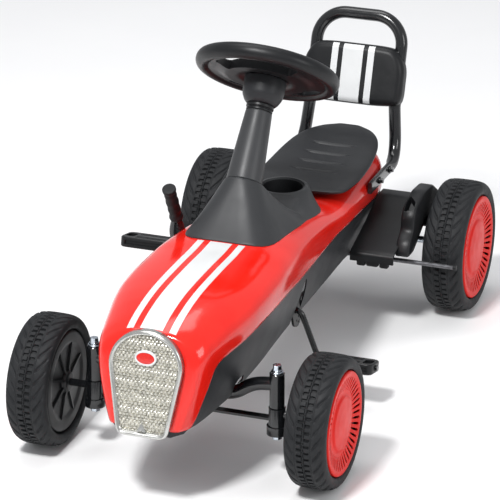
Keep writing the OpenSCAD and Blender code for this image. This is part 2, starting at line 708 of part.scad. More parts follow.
module brake_bar() {
  color("#9a9c9f") union() {
    tube_x(-258, 258, 284, 127, 8);
    tube_x(-60, 60, brake_y, brake_z, 9);
    for (s = [-1, 1]) hull() {
      tube_x(s * 57 - 3, s * 57 + 3, brake_y, brake_z, 14);
      tube_x(s * 57 - 3, s * 57 + 3, 284, 127, 12);
    }
    hull() {
      tube_x(-60, -54, brake_y, brake_z, 14);
      tube_x(-60, -54, brake_y, brake_z + 16, 12);
    }
    hull() {
      tube_x(-56, -48, brake_y, brake_z + 16, 12);
      tube_x(-54, -48, brake_y, link_z, 12);
    }
  }
}
module brake_tips() {
  color("#151516") for (s = [-1, 1])
    tube_x(s > 0 ? 258 : -264, s > 0 ? 264 : -258, 284, 127, 9.4);
}

frame_spine();
front_beam();
body_shell();
side_panel_left();
side_panel_right();
nose_tray();
hood_stripes();
grille_frame();
grille_panel();
badge();
column_shroud();
column_cover();
column_collar();
seat_pan();
seat_bolts();
backrest_hoop();
backrest_panel();
backrest_stripes();
hoop_bolts();
rear_cover();
axle_bushes();
crank_bushes();
kingpin_bolts();
drive_chain();
steering_shaft();
steering_wheel();
wheel_boot();
wheel_cap();
tie_rod();
knuckle_left();
knuckle_right();
front_left_tyre();
front_left_disc();
front_left_cap();
front_right_tyre();
front_right_disc();
front_right_cap();
rear_axle();
rear_left_tyre();
rear_left_disc();
rear_left_cap();
rear_right_tyre();
rear_right_disc();
rear_right_cap();
axle_sprocket();
crank_rod();
crank_sprocket();
pedal_left();
pedal_right();
brake_lever();
brake_grip();
brake_link();
brake_bar();
brake_tips();
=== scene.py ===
# %% Load the frame
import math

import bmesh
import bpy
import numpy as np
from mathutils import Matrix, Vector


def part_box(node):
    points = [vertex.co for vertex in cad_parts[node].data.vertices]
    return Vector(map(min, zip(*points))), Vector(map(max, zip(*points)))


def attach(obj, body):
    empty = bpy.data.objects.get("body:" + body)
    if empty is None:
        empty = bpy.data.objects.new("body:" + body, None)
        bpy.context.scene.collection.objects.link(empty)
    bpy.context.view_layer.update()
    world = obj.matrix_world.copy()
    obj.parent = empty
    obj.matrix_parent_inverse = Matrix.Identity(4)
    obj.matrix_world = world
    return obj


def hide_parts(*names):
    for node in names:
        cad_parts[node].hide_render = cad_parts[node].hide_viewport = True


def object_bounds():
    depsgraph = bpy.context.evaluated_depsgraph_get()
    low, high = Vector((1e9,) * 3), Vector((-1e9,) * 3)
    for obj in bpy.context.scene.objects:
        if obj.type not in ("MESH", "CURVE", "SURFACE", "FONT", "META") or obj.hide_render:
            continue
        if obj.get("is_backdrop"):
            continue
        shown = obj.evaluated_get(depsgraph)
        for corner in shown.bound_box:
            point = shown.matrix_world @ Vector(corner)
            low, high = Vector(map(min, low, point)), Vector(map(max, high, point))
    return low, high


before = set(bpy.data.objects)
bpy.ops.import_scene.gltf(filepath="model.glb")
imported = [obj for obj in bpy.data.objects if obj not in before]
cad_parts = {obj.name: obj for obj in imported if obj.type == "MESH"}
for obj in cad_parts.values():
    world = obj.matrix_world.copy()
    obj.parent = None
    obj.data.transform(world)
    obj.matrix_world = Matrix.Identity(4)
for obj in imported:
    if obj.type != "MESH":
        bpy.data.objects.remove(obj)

# %% [markdown]
# # A child's pedal go-kart
# The kart has a glossy red moulded body on a black tubular frame, four foam tyres with red
# caps, and satin black plastic for the seat, the back pad and the steering wheel.
# The frame that was just loaded is exact, so every piece here takes its place from it.
# Nose towards -Y, the rider's left towards +X. Shapes are drawn in millimetres.

cad_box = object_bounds()
MM = 0.001


def middle(node):
    """Middle of a frame node's box, in millimetres."""
    low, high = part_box(node)
    return np.array((low + high) / 2) / MM


def extent(node):
    """Size of a frame node's box along each axis, in millimetres."""
    low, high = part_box(node)
    return np.array(high - low) / MM


print("kart box, metres:", [round(v, 4) for corner in cad_box for v in corner])

# %% [markdown]
# ## Finishes
# No real surface is one flat colour. Moulded plastic has a fine grain and patches that are a
# little shinier, paint has a faint orange peel, and rubber collects dust. One maker serves them
# all: cloudy noise in the piece's own space sets colour and roughness, and a fine noise of real
# depth makes the bump. Values that don't vary go straight on the shader's sockets.

# %% Parts of a finish
def cloud(tree, size, detail=3.0, stretch=(1, 1, 1)):
    """Noise whose blotches are about size metres across."""
    place = tree.nodes.new("ShaderNodeTexCoord")
    scale = tree.nodes.new("ShaderNodeMapping")
    scale.inputs["Scale"].default_value = [k / size for k in stretch]
    noise = tree.nodes.new("ShaderNodeTexNoise")
    noise.inputs["Scale"].default_value = 1.0
    noise.inputs["Detail"].default_value = detail
    tree.links.new(place.outputs["Object"], scale.inputs["Vector"])
    tree.links.new(scale.outputs["Vector"], noise.inputs["Vector"])
    return noise.outputs["Fac"]


def spread(tree, value, low, high):
    """Stretches the middle of a noise over low to high."""
    node = tree.nodes.new("ShaderNodeMapRange")
    for socket, number in zip(node.inputs[1:5], (0.35, 0.65, low, high)):
        socket.default_value = number
    tree.links.new(value, node.inputs["Value"])
    return node.outputs["Result"]


def two_tone(tree, value, dark, light):
    node = tree.nodes.new("ShaderNodeMix")
    node.data_type = "RGBA"
    tree.links.new(value, node.inputs[0])
    node.inputs[6].default_value = (*dark, 1)
    node.inputs[7].default_value = (*light, 1)
    return node.outputs[2]


def relief(tree, height, depth, under=None):
    """Bump of a depth in metres, on top of another bump if one is given."""
    node = tree.nodes.new("ShaderNodeBump")
    node.inputs["Strength"].default_value = 1.0
    node.inputs["Distance"].default_value = depth
    tree.links.new(height, node.inputs["Height"])
    if under is not None:
        tree.links.new(under, node.inputs["Normal"])
    return node.outputs["Normal"]


def finish(name, dark, light, rough, blotch=0.03, grain=0.001, depth=0.00002, metal=0.0,
           coat=0.0, wave=0.0, shine=0.5, stretch=(1, 1, 1)):
    """A procedural finish: two near colours, a span of roughness, a grain and a slow wave."""
    material = bpy.data.materials.new(name)
    material.use_nodes = True
    tree = material.node_tree
    shader = tree.nodes["Principled BSDF"]
    shader.inputs["Metallic"].default_value = metal
    shader.inputs["Coat Weight"].default_value = coat
    shader.inputs["Specular IOR Level"].default_value = shine
    shader.inputs["Coat Roughness"].default_value = 0.04
    patches = spread(tree, cloud(tree, blotch, 4), 0, 1)
    tree.links.new(two_tone(tree, patches, dark, light), shader.inputs["Base Color"])
    rubbed = spread(tree, cloud(tree, blotch * 0.6, 5, stretch), *rough)
    tree.links.new(rubbed, shader.inputs["Roughness"])
    normal = relief(tree, cloud(tree, grain, 2, stretch), depth)
    if wave:
        normal = relief(tree, cloud(tree, 0.05, 1), wave, normal)
    tree.links.new(normal, shader.inputs["Normal"])
    material.diffuse_color = (*light, 1)
    return material


# %% Finishes of this kart
red_gloss = finish("red_gloss_body", (0.72, 0.012, 0.006), (0.77, 0.017, 0.009), (0.12, 0.18),
                   blotch=0.06, grain=0.004, depth=0.000004, coat=0.15, wave=0.00016, shine=0.45)
red_satin = finish("red_wheel_cap", (0.64, 0.010, 0.006), (0.70, 0.015, 0.009), (0.32, 0.42),
                   grain=0.0012, depth=0.00001, shine=0.12)
panel_grey = finish("dark_panel_grain", (0.017, 0.018, 0.020), (0.020, 0.021, 0.023),
                    (0.44, 0.50), blotch=0.08, grain=0.0009, depth=0.00004, shine=0.3)
shroud_grey = finish("shroud_satin", (0.0265, 0.028, 0.030), (0.0295, 0.031, 0.033),
                     (0.42, 0.48), blotch=0.06, grain=0.0009, depth=0.00003, shine=0.35)
cover_grey = finish("column_satin", (0.035, 0.0365, 0.0385), (0.0385, 0.040, 0.042),
                    (0.38, 0.44), blotch=0.06, grain=0.0009, depth=0.00003, shine=0.35)
seat_black = finish("seat_satin", (0.0155, 0.0165, 0.0185), (0.0185, 0.0195, 0.0215),
                    (0.42, 0.48), blotch=0.06, grain=0.0010, depth=0.00005, shine=0.3)
moulded_black = finish("moulded_black", (0.0065, 0.007, 0.008), (0.009, 0.0095, 0.0105),
                       (0.36, 0.44), blotch=0.05, grain=0.0010, depth=0.00003, shine=0.3)
grip_black = finish("grip_rubber", (0.008, 0.0085, 0.0095), (0.011, 0.0115, 0.0125), (0.5, 0.62),
                    grain=0.0007, depth=0.00005, shine=0.3)
tube_black = finish("tube_gloss_black", (0.004, 0.0045, 0.0055), (0.006, 0.0065, 0.0075),
                    (0.16, 0.24), grain=0.003, depth=0.000012, coat=0.35)
tyre_rubber = finish("tyre_rubber", (0.0115, 0.0125, 0.014), (0.0165, 0.0175, 0.019),
                     (0.56, 0.66), blotch=0.018, grain=0.0007, depth=0.00005, shine=0.25)
white_film = finish("white_film", (0.63, 0.64, 0.64), (0.67, 0.68, 0.68), (0.16, 0.26),
                    blotch=0.05, grain=0.003, depth=0.000004, coat=0.1)
bright_trim = finish("bright_trim", (0.46, 0.46, 0.44), (0.56, 0.56, 0.54), (0.20, 0.30),
                     grain=0.0008, depth=0.000008, metal=0.9)
grille_foil = finish("grille_foil", (0.46, 0.45, 0.40), (0.72, 0.70, 0.63), (0.20, 0.34),
                     blotch=0.006, grain=0.0007, depth=0.00002, metal=0.9)
badge_red = finish("badge_red", (0.56, 0.014, 0.010), (0.64, 0.020, 0.014), (0.14, 0.24),
                   blotch=0.006, grain=0.0006, depth=0.000006, coat=0.2)
zinc = finish("bright_zinc", (0.42, 0.46, 0.52), (0.62, 0.68, 0.74), (0.16, 0.30), blotch=0.004,
              grain=0.0005, depth=0.00001, metal=1.0)
steel = finish("oiled_steel", (0.09, 0.09, 0.095), (0.16, 0.16, 0.17), (0.28, 0.44),
               blotch=0.008, grain=0.0006, depth=0.00002, metal=0.9, stretch=(0.15, 1, 1))
nylon = finish("natural_nylon", (0.56, 0.54, 0.48), (0.64, 0.62, 0.56), (0.4, 0.55),
               blotch=0.006, grain=0.0006, depth=0.00001)
print(len(bpy.data.materials), "finishes")

# %% [markdown]
# ## Making a piece
# Every piece starts as points and faces in millimetres. Doubled points are welded, normals are
# made to face outwards, and only edges sharper than a given angle stay sharp. Then the piece
# rides on its body and stands for the plain solids of the frame that it replaces.

# %% Meshes from points and faces
def shade(piece, sharp=35):
    """Smooth shading with creases where faces meet at more than sharp degrees."""
    piece.data.shade_smooth()
    piece.data.set_sharp_from_angle(angle=math.radians(sharp))


def settle(piece, sharp=35):
    """Turns a piece's modifiers into plain mesh."""
    bpy.context.view_layer.update()
    view = bpy.context.evaluated_depsgraph_get()
    mesh = bpy.data.meshes.new_from_object(piece.evaluated_get(view))
    piece.modifiers.clear()
    piece.data = mesh
    shade(piece, sharp)


def mesh_piece(name, points, faces, material, sharp=35):
    """A welded, smooth mesh object from points in millimetres."""
    mesh = bpy.data.meshes.new(name)
    mesh.from_pydata((np.asarray(points, float) * MM).tolist(), [], [list(f) for f in faces])
    work = bmesh.new()
    work.from_mesh(mesh)
    bmesh.ops.remove_doubles(work, verts=work.verts, dist=2e-6)
    bmesh.ops.recalc_face_normals(work, faces=work.faces)
    work.to_mesh(mesh)
    work.free()
    mesh.materials.append(material)
    piece = bpy.data.objects.new(name, mesh)
    bpy.context.scene.collection.objects.link(piece)
    shade(piece, sharp)
    return piece


# %% Mounting a piece on the frame
def mount(piece, body, slot, *stands_for):
    """Says which body a piece rides on and which frame parts it covers; the slot argument is not
    used.
    """
    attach(piece, body)
    if stands_for:
        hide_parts(*stands_for)
    print(f"{piece.name}: {len(piece.data.vertices)} points, rides on {body}")


# %% Faces between points
def grid_faces(rows, columns, wrap_rows=False, wrap_columns=True):
    """Four-sided faces between neighbouring rows and columns of points."""
    return [(i * columns + j, (i + 1) % rows * columns + j,
             (i + 1) % rows * columns + (j + 1) % columns, i * columns + (j + 1) % columns)
            for i in range(rows if wrap_rows else rows - 1)
            for j in range(columns if wrap_columns else columns - 1)]


def closed_loft(rings):
    """Points and faces of a solid through rings of equal length, with fanned ends."""
    rings = np.asarray(rings, float)
    rows, columns = rings.shape[:2]
    points = np.vstack([rings.reshape(-1, 3), rings[0].mean(0), rings[-1].mean(0)])
    faces = grid_faces(rows, columns)
    for end, start in ((len(points) - 2, 0), (len(points) - 1, (rows - 1) * columns)):
        faces += [(end, start + j, start + (j + 1) % columns) for j in range(columns)]
    return points, faces


def joined(solids):
    """Several solids as one set of points and faces."""
    points, faces = [], []
    for solid_points, solid_faces in solids:
        faces += [[i + len(points) for i in f] for f in solid_faces]
        points += [tuple(p) for p in solid_points]
    return points, faces


# %% [markdown]
# ## Drawing lines
# A few kinds of line draw the whole kart: a curve through set points that never overshoots,
# a broken line with its corners eased, a profile turned round an axle, and a section swept
# along a path. Straight sections between corners keep tubes and mouldings honest.

# %% Lines
def through(xs, ys, at):
    """Monotone cubic through points, so that moulded lines run smoothly."""
    xs, ys = np.asarray(xs, float), np.asarray(ys, float)
    step = np.diff(xs)
    slope = np.diff(ys) / step
    lean = np.zeros_like(ys)
    for i in range(1, len(xs) - 1):
        if slope[i - 1] * slope[i] > 0:
            a, b = 2 * step[i] + step[i - 1], step[i] + 2 * step[i - 1]
            lean[i] = (a + b) / (a / slope[i - 1] + b / slope[i])
    lean[0], lean[-1] = slope[0], slope[-1]
    at = np.clip(np.asarray(at, float), xs[0], xs[-1])
    i = np.clip(np.searchsorted(xs, at) - 1, 0, len(step) - 1)
    t, h = (at - xs[i]) / step[i], step[i]
    return ((2 * t**3 - 3 * t**2 + 1) * ys[i] + (t**3 - 2 * t**2 + t) * h * lean[i]
            + (3 * t**2 - 2 * t**3) * ys[i + 1] + (t**3 - t**2) * h * lean[i + 1])


def soften(points, cut, closed=False, steps=6):
    """Eases each corner of a broken line, starting cut millimetres before it."""
    points = [np.array(p, float) for p in points]
    count, line = len(points), []
    for i, corner in enumerate(points):
        if not closed and i in (0, count - 1):
            line.append(corner)
            continue
        before, after = points[i - 1] - corner, points[(i + 1) % count] - corner
        a = corner + before * min(cut / np.linalg.norm(before), 0.49)
        b = corner + after * min(cut / np.linalg.norm(after), 0.49)
        line += [(1 - t)**2 * a + 2 * t * (1 - t) * corner + t**2 * b
                 for t in np.linspace(0, 1, steps)]
    return np.array(line)


def even(line, count, closed=False):
    """Points at equal distances along a line."""
    line = np.vstack([line, line[:1]]) if closed else np.asarray(line)
    run = np.concatenate([[0], np.cumsum(np.linalg.norm(np.diff(line, axis=0), axis=1))])
    at = np.linspace(0, run[-1], count + 1)[:-1] if closed else np.linspace(0, run[-1], count)
    return np.column_stack([np.interp(at, run, line[:, k]) for k in range(line.shape[1])])


def inside_of(outline):
    """Steps of one millimetre to the inside at each point of a closed clockwise line."""
    ahead = np.roll(outline, -1, 0) - np.roll(outline, 1, 0)
    ahead /= np.linalg.norm(ahead, axis=1)[:, None]
    return np.column_stack([ahead[:, 1], -ahead[:, 0]])


# %% Round shapes and plates
def around(count):
    """Evenly spaced angles of one full turn."""
    return np.arange(count) * 2 * np.pi / count


def circle(radius, count=20):
    """Points (a, b) round the origin."""
    return np.column_stack([radius * np.cos(around(count)), radius * np.sin(around(count))])


def squared(wave, square):
    """A sine or cosine pushed towards the corners: 2 is round, and more is squarer."""
    return np.sign(wave) * np.abs(wave)**(2 / square)


def rounded_box(x, y, corner, count=40):
    """Evenly spaced outline of a rectangle of half sizes x and y with eased corners."""
    return even(soften([(x, -y), (x, y), (-x, y), (-x, -y)], corner, True), count, True)


def turned(profile, centre, side=1, turns=96):
    """Rings of a profile of (radius, place along the axle) turned about a line along X."""
    return [np.column_stack([np.full(turns, centre[0] + side * along),
                             circle(radius, turns) + centre[1:]]) for radius, along in profile]


def slab(outline, x0, x1):
    """A plate between two places along X, from an outline of (y, z)."""
    return closed_loft([np.column_stack([np.full(len(outline), float(x)), outline])
                        for x in (x0, x1)])


def upright(outline, z0, z1, edge=0.0):
    """A solid standing on a flat outline, its rims drawn in by edge."""
    centre = outline.mean(0)
    inset = centre + (outline - centre) * (1 - edge / np.abs(outline - centre).max())
    levels = [(inset, z0), (outline, z0 + edge), (outline, z1 - edge), (inset, z1)]
    return closed_loft([np.column_stack([o, np.full(len(o), z)]) for o, z in levels])


# %% Sweeps and leaning pieces
def swept(path, section):
    """Rings of a flat section carried along a path; section is (across, up) points or a
    function of the share of the path done."""
    path = np.asarray(path, float)
    ahead = np.gradient(path, axis=0)
    ahead /= np.linalg.norm(ahead, axis=1)[:, None]
    side = np.cross(ahead[0], (0, 0, 1) if abs(ahead[0][2]) < 0.8 else (0, 1, 0))
    rings = []
    for i, (point, direction) in enumerate(zip(path, ahead)):
        side = side - direction * side.dot(direction)
        side /= np.linalg.norm(side)
        up = np.cross(side, direction)
        flat = section(i / (len(path) - 1)) if callable(section) else section
        rings.append([point + a * side + b * up for a, b in flat])
    return rings


def tilted(points, origin, degrees):
    """Moves points drawn upright to a frame leaning back by degrees."""
    points = np.asarray(points, float)
    lean = math.radians(degrees)
    y, z = points[..., 1], points[..., 2]
    return np.stack([origin[0] + points[..., 0],
                     origin[1] + y * math.cos(lean) + z * math.sin(lean),
                     origin[2] - y * math.sin(lean) + z * math.cos(lean)], -1)


# %% Joining, cutting and edges
def fuse(name, solids, voxel, passes, material, sharp=50):
    """One skin round several overlapping solids, with the joins between them softened."""
    piece = mesh_piece(name, *joined(solids), material)
    remesh = piece.modifiers.new("Fuse", "REMESH")
    remesh.mode, remesh.voxel_size = "VOXEL", voxel * MM
    ease = piece.modifiers.new("Ease", "SMOOTH")
    ease.factor, ease.iterations = 0.5, passes
    settle(piece, sharp)
    return piece


def carve(piece, solids, sharp=35):
    """Cuts solids out of a piece and keeps the piece's own finish on the cut faces."""
    cutters = [mesh_piece("cutter", *solid, panel_grey) for solid in solids]
    for cutter in cutters:
        cut = piece.modifiers.new("Cut", "BOOLEAN")
        cut.operation, cut.object, cut.solver = "DIFFERENCE", cutter, "EXACT"
    keep = list(piece.data.materials)
    settle(piece, sharp)
    piece.data.materials.clear()
    for material in keep:
        piece.data.materials.append(material)
    for polygon in piece.data.polygons:
        polygon.material_index = 0
    for cutter in cutters:
        bpy.data.objects.remove(cutter)


def thicken(piece, thickness, even_wall=True):
    """Gives an open skin a wall, grown to the inside."""
    skin = piece.modifiers.new("Wall", "SOLIDIFY")
    skin.thickness, skin.offset = thickness * MM, -1
    skin.use_even_offset = even_wall


def ease_edges(piece, width):
    """Rounds the edges sharper than 40 degrees a little, so that they catch the light."""
    edge = piece.modifiers.new("Edges", "BEVEL")
    edge.width, edge.segments = width * MM, 2
    edge.angle_limit = math.radians(40)
    edge.harden_normals = True


# %% [markdown]
# ## The red upper shell
# It is one blow-moulded teardrop, widest over the front wheels and slim under the seat.
# A box with a subdivision surface would drift from the frame's solid, so the shell is lofted
# through the moulding's own cross-sections: a flank that curves in to the lower edge and a
# squared arch over the top. The nose leans back a little, and a wall thickness follows last.

# %% Sections of the body
# place along the kart, height of the crown, half widths at the shoulder and at the foot,
# height of the shoulder, squareness of the arch over it
PLACE, CROWN_Z, SHOULDER_X, FOOT_X, SHOULDER_Z, SQUARE = range(6)
BODY = np.array([
    (-507, 286, 72, 50, 238, 2.3), (-505, 290, 79, 56, 240, 2.4), (-498, 294, 86, 62, 242, 2.4),
    (-485, 299, 92, 69, 245, 2.5), (-463, 305.5, 98, 76, 248, 2.5),
    (-445, 309, 102.5, 80, 250, 2.55), (-427, 312, 106.5, 83, 252, 2.6),
    (-385, 316, 115, 87, 257, 2.7), (-340, 317.5, 121, 88, 261, 2.8),
    (-286, 318, 123, 88, 263, 2.9), (-230, 317.5, 122, 87, 263, 3),
    (-189, 319, 119, 85, 262, 3.1), (-120, 317, 113.5, 82, 258, 3.1),
    (-55, 311, 108, 80, 252, 3.1), (20, 300, 102, 78, 245, 3), (90, 286, 97, 77, 238, 3),
    (150, 271, 93.5, 76, 232, 3), (200, 262, 91, 75, 228, 3), (280, 262, 88, 74, 224, 3),
    (360, 267, 85, 73, 222, 3), (420, 272, 80, 68, 222, 3), (452, 273, 68, 58, 222, 2.8),
    (468, 270, 46, 38, 224, 2.6)], float)
# place along the kart and height of the red shell's lower edge
SEAM = np.array([
    (-520, 139), (-485, 139), (-479, 150), (-475, 178), (-470, 203), (-463, 228), (-450, 237),
    (-440, 238.5), (-400, 242), (-350, 248), (-300, 251), (-250, 251), (-200, 248),
    (-100, 237), (0, 231.5), (120, 226.5), (200, 218.5), (290, 211.5), (390, 203),
    (600, 203)], float)
FOOT_Z = 139
NOSE_LEAN = 0.194
print(len(BODY), "sections, from", BODY[0, PLACE], "to", BODY[-1, PLACE], "mm")


# %% Surface of the body
def body_line(column, y):
    return through(BODY[:, PLACE], BODY[:, column], y)


def seam_z(y):
    return through(SEAM[:, 0], SEAM[:, 1], y)


def leaning(x, y, z):
    """The nose leans back: the further forward, the more height moves a point."""
    t = np.clip((-400 - np.asarray(y, float)) / 80, 0, 1)
    return np.column_stack([x, y + NOSE_LEAN * t * t * (3 - 2 * t) * (z - 300), z])


def flank_x(y, z):
    """Half width of the body below its shoulder."""
    foot, shoulder, height = (body_line(k, y) for k in (FOOT_X, SHOULDER_X, SHOULDER_Z))
    share = np.clip((z - FOOT_Z) / (height - FOOT_Z), 0, 1)
    return foot + (shoulder - foot) * (1 - (1 - share)**1.5)


def top_z(x, y):
    """Height of the body above its shoulder."""
    crown, width, height, square = (body_line(k, y)
                                    for k in (CROWN_Z, SHOULDER_X, SHOULDER_Z, SQUARE))
    share = np.clip(np.abs(x) / width, 0, 1)
    return height + (crown - height) * (1 - share**square)**(1 / square)


def half_section(y, count):
    """One side of the shell at a place, from the seam to the crown, evenly spaced."""
    crown, width, height, square = (body_line(k, y)
                                    for k in (CROWN_Z, SHOULDER_X, SHOULDER_Z, SQUARE))
    z = np.linspace(seam_z(y), height, 24)
    angle = np.radians(np.linspace(0, 90, 80))[1:]
    arch = np.column_stack([width * np.cos(angle)**(2 / square),
                            height + (crown - height) * np.sin(angle)**(2 / square)])
    line = np.vstack([np.column_stack([flank_x(np.full(24, y), z), z]), arch])
    return even(line, count)


# %% Skin of the shell, with an opening for the cup pocket
HALF, SHELL_WALL = 44, 3
POCKET, POCKET_R = np.array([0, 113.0]), 36
shell_y = np.unique(np.concatenate([
    np.linspace(-507, -498, 10), np.linspace(-498, -436, 48), np.linspace(-436, 420, 118),
    np.linspace(420, 468, 14)]))
rings = []
for y in shell_y:
    one = half_section(y, HALF)
    both = np.vstack([one, (one * (-1, 1))[::-1][1:]])
    rings.append(leaning(both[:, 0], np.full(len(both), y), both[:, 1]))
columns = 2 * HALF - 1
points = np.vstack(rings)
faces = grid_faces(len(rings), columns, wrap_columns=False)
centres = np.array([points[list(f)].mean(0) for f in faces])
in_pocket = np.hypot(*(centres[:, :2] - POCKET).T) < POCKET_R + 7
faces = [f for f, gone in zip(faces, in_pocket) if not (gone and points[f[0]][2] > 250)]
print(len(faces), "faces without", in_pocket.sum(), "at the pocket")

# %% Nose and tail of the shell, closed with shrinking rings
for ring in (0, len(rings) - 1):
    edge = np.arange(columns) + ring * columns
    core = points[edge].mean(0)
    for share in (0.92, 0.6, 0.15):
        fresh = np.arange(columns) + len(points)
        points = np.vstack([points, core + (points[edge] - core) * share])
        faces += [(edge[j], edge[j + 1], fresh[j + 1], fresh[j]) for j in range(columns - 1)]
        faces += [(edge[-1], edge[0], fresh[0], fresh[-1])]
        edge = fresh
    faces.append(tuple(edge))
shell = mesh_piece("body_shell_red", points, faces, red_gloss, sharp=50)
thicken(shell, SHELL_WALL)
mount(shell, "chassis", "red_shell", "body_shell")

# %% [markdown]
# ## White bands
# One wide and two narrow bands of film run from the nose to the shroud. A painted mask in the
# material would blur at the edges, so each band is a thin strip laid just over the shell,
# with points taken from the same surface.

# %% Bands on the hood
FILM = 0.45


def band(x0, x1):
    """A strip between two places across the hood, from the nose to the shroud."""
    xs, rows = np.linspace(x0, x1, 9), []
    for y in np.linspace(-500, -188.6, 90):
        z = top_z(xs, np.full(9, y))
        lifted = np.concatenate([z + FILM, (z + 0.05)[::-1]])
        rows.append(leaning(np.concatenate([xs, xs[::-1]]), np.full(18, y), lifted))
    return closed_loft(rows)


bands = mesh_piece("hood_bands", *joined([band(-19, 19), band(30, 41.5), band(-41.5, -30)]),
                   white_film)
mount(bands, "chassis", "white_film", "hood_stripes")

# %% [markdown]
# ## Dark side panels
# Behind and below the red, a charcoal panel closes each side. It is the flank of the same
# section, set in by a millimetre, with its lower edge turned inwards. The crank comes out
# through a teardrop opening, and the front beam through a notch, so both are cut afterwards.

# %% Side panels
SIDES = {"left": 1, "right": -1}
PANEL_WALL, PANEL_INSET = 2.6, 1.0


def side_panel(name, side, node):
    """One dark flank, from its turned-in foot to the red shell's seam."""
    ys = np.unique(np.concatenate([np.linspace(-484, -440, 40), np.linspace(-440, 438, 120)]))
    rows = []
    for y in ys:
        top = max(FOOT_Z + 0.3, seam_z(y) - 0.5)
        z = np.linspace(FOOT_Z, top, 18)
        x = flank_x(np.full(18, y), z) - PANEL_INSET
        x = np.concatenate([[x[0] - 6, x[0] - 2.5], x])
        z = np.concatenate([[FOOT_Z + 1.4, FOOT_Z - 0.6], z])
        rows.append(leaning(side * x, np.full(20, y), z))
    piece = mesh_piece(name, np.vstack(rows),
                       grid_faces(len(rows), 20, wrap_columns=False), panel_grey)
    thicken(piece, PANEL_WALL)
    settle(piece)
    drop = soften([(-22, 100), (-22, 172), (-7, 218), (5, 218), (22, 174), (22, 100)], 16, True)
    drop += (middle("crank_sprocket")[1], 0)
    notch = soften([(-377, 90), (-377, 164), (-339, 164), (-339, 90)], 12, True)
    carve(piece, [slab(even(outline, count, True), side * 40, side * 140)
                  for outline, count in ((drop, 48), (notch, 40))])
    mount(piece, "chassis", "dark_panel", node)


for side_name, side in SIDES.items():
    side_panel("dark_side_panel_" + side_name, side, "side_panel_" + side_name)

# %% [markdown]
# ## Grille, frame and badge
# The nose carries an arched silver frame round a foil panel embossed with small staggered
# pyramids. The frame is a rounded section carried round the arch. The panel's facets are real
# relief, because a bump alone would lose the sparkle at the edges. The badge is a plain red
# oval in a pale ring.

# %% Outline of the grille
GRILLE_Y = -521
AROUND_GRILLE = 220


def grille_outline(inset):
    """The arch in (x, z), drawn in by inset."""
    arch = [(62 * math.cos(a), 240 + 57 * math.sin(a)) for a in np.linspace(np.pi, 0, 25)]
    corners = [(-36, 128), (-44, 136), (-60, 225)] + arch + [(60, 225), (44, 136), (36, 128)]
    line = even(soften(corners, 9, True, 5), AROUND_GRILLE, True)
    return line + inside_of(line) * inset


def on_nose(x, z, depth):
    """A point on the leaning nose; depth runs back from the front of the frame."""
    x, z = np.asarray(x, float), np.asarray(z, float)
    return np.column_stack([x, GRILLE_Y + depth + NOSE_LEAN * (z - 300), z])


frame_section = soften([(0, 13), (0, 3.2), (2.4, 0.3), (5.4, 0.6), (8.4, 4.8), (8.4, 9)], 2,
                       steps=4)
rings = [on_nose(*grille_outline(inset).T, depth) for inset, depth in frame_section]
trim = mesh_piece("grille_frame_bright", np.vstack(rings),
                  grid_faces(len(rings), AROUND_GRILLE), bright_trim)
thicken(trim, 1.2)
mount(trim, "chassis", "bright_trim", "grille_frame")

# %% Embossed panel
FACET_X, FACET_Z = 6.4, 4.8
FACET_HIGH, FACET_GAP = 1.4, 1.3


def facet(x, z):
    """Height of rows of small pyramids, every other row moved by half a step."""
    row = np.floor(z / FACET_Z)
    u = (x / FACET_X + 0.5 * (row % 2)) % 1 - 0.5
    v = (z / FACET_Z) % 1 - 0.5
    out = 2 * np.maximum(np.abs(u), np.abs(v))
    return FACET_HIGH * (1 - out) - FACET_GAP * np.clip((out - 0.74) / 0.2, 0, 1)


edge = grille_outline(8.0)
rows, across = 230, 150
points = []
for z in np.linspace(edge[:, 1].min() + 0.4, edge[:, 1].max() - 0.4, rows):
    cross = [p[0] + (q[0] - p[0]) * (z - p[1]) / (q[1] - p[1])
             for p, q in zip(edge, np.roll(edge, -1, 0)) if (p[1] - z) * (q[1] - z) < 0]
    x = np.linspace(min(cross), max(cross), across)
    points.append(on_nose(x, np.full(across, z), 5.2 - facet(x, z)))
foil = mesh_piece("grille_facets", np.vstack(points),
                  grid_faces(rows, across, wrap_columns=False), grille_foil, sharp=18)
thicken(foil, 0.8, False)
mount(foil, "chassis", "grille_mesh", "grille_panel")

# %% Badge and foot ornament
badge_z = middle("badge")[2]


def oval(half_x, half_z, depth):
    x, z = (circle(1, 64) * (half_x, half_z)).T
    return on_nose(x, badge_z + z, depth)


ring = closed_loft([oval(18.5, 12.2, 4.6), oval(18.5, 12.2, 2.2), oval(17.6, 11.4, 1.2),
                    oval(15.6, 9.4, 1.0), oval(14.9, 8.7, 2.0), oval(14.9, 8.7, 4.6)])
mount(mesh_piece("badge_ring", *ring, white_film), "chassis", "badge_red", "badge")
domed = closed_loft([oval(15.2, 9.0, 4.4), oval(15.2, 9.0, 1.9), oval(13.6, 7.8, 1.2),
                     oval(8.5, 4.8, 0.8), oval(2, 1.2, 0.7)])
mount(mesh_piece("badge_oval", *domed, badge_red), "chassis", "badge_red")
wedge = []
for grow, depth in ((1.0, 5.0), (1.0, 2.6), (0.55, 0.9)):
    outline = soften([(-8 * grow, 137), (0, 137 + 15 * grow), (8 * grow, 137), (0, 140)], 2, True)
    wedge.append(on_nose(*outline.T, depth))
mount(mesh_piece("grille_foot_ornament", *closed_loft(wedge), bright_trim), "chassis",
      "bright_trim")

# %% [markdown]
# ## Column shroud and cup pocket
# A soft grey pyramid climbs from the hood to the steering column and runs on behind into a
# cup pocket. Its corners melt into each other, which a plain union doesn't do. Three lofts,
# the cone, the cup and the flank between them, are fused into one skin on a fine grid and then
# eased, as a pattern maker fillets clay.

# %% Lines on the column, round the pocket and on the hood
COLUMN, COLUMN_LEAN = (0.0, 34.9, 544.5), 36.3
AROUND = 96


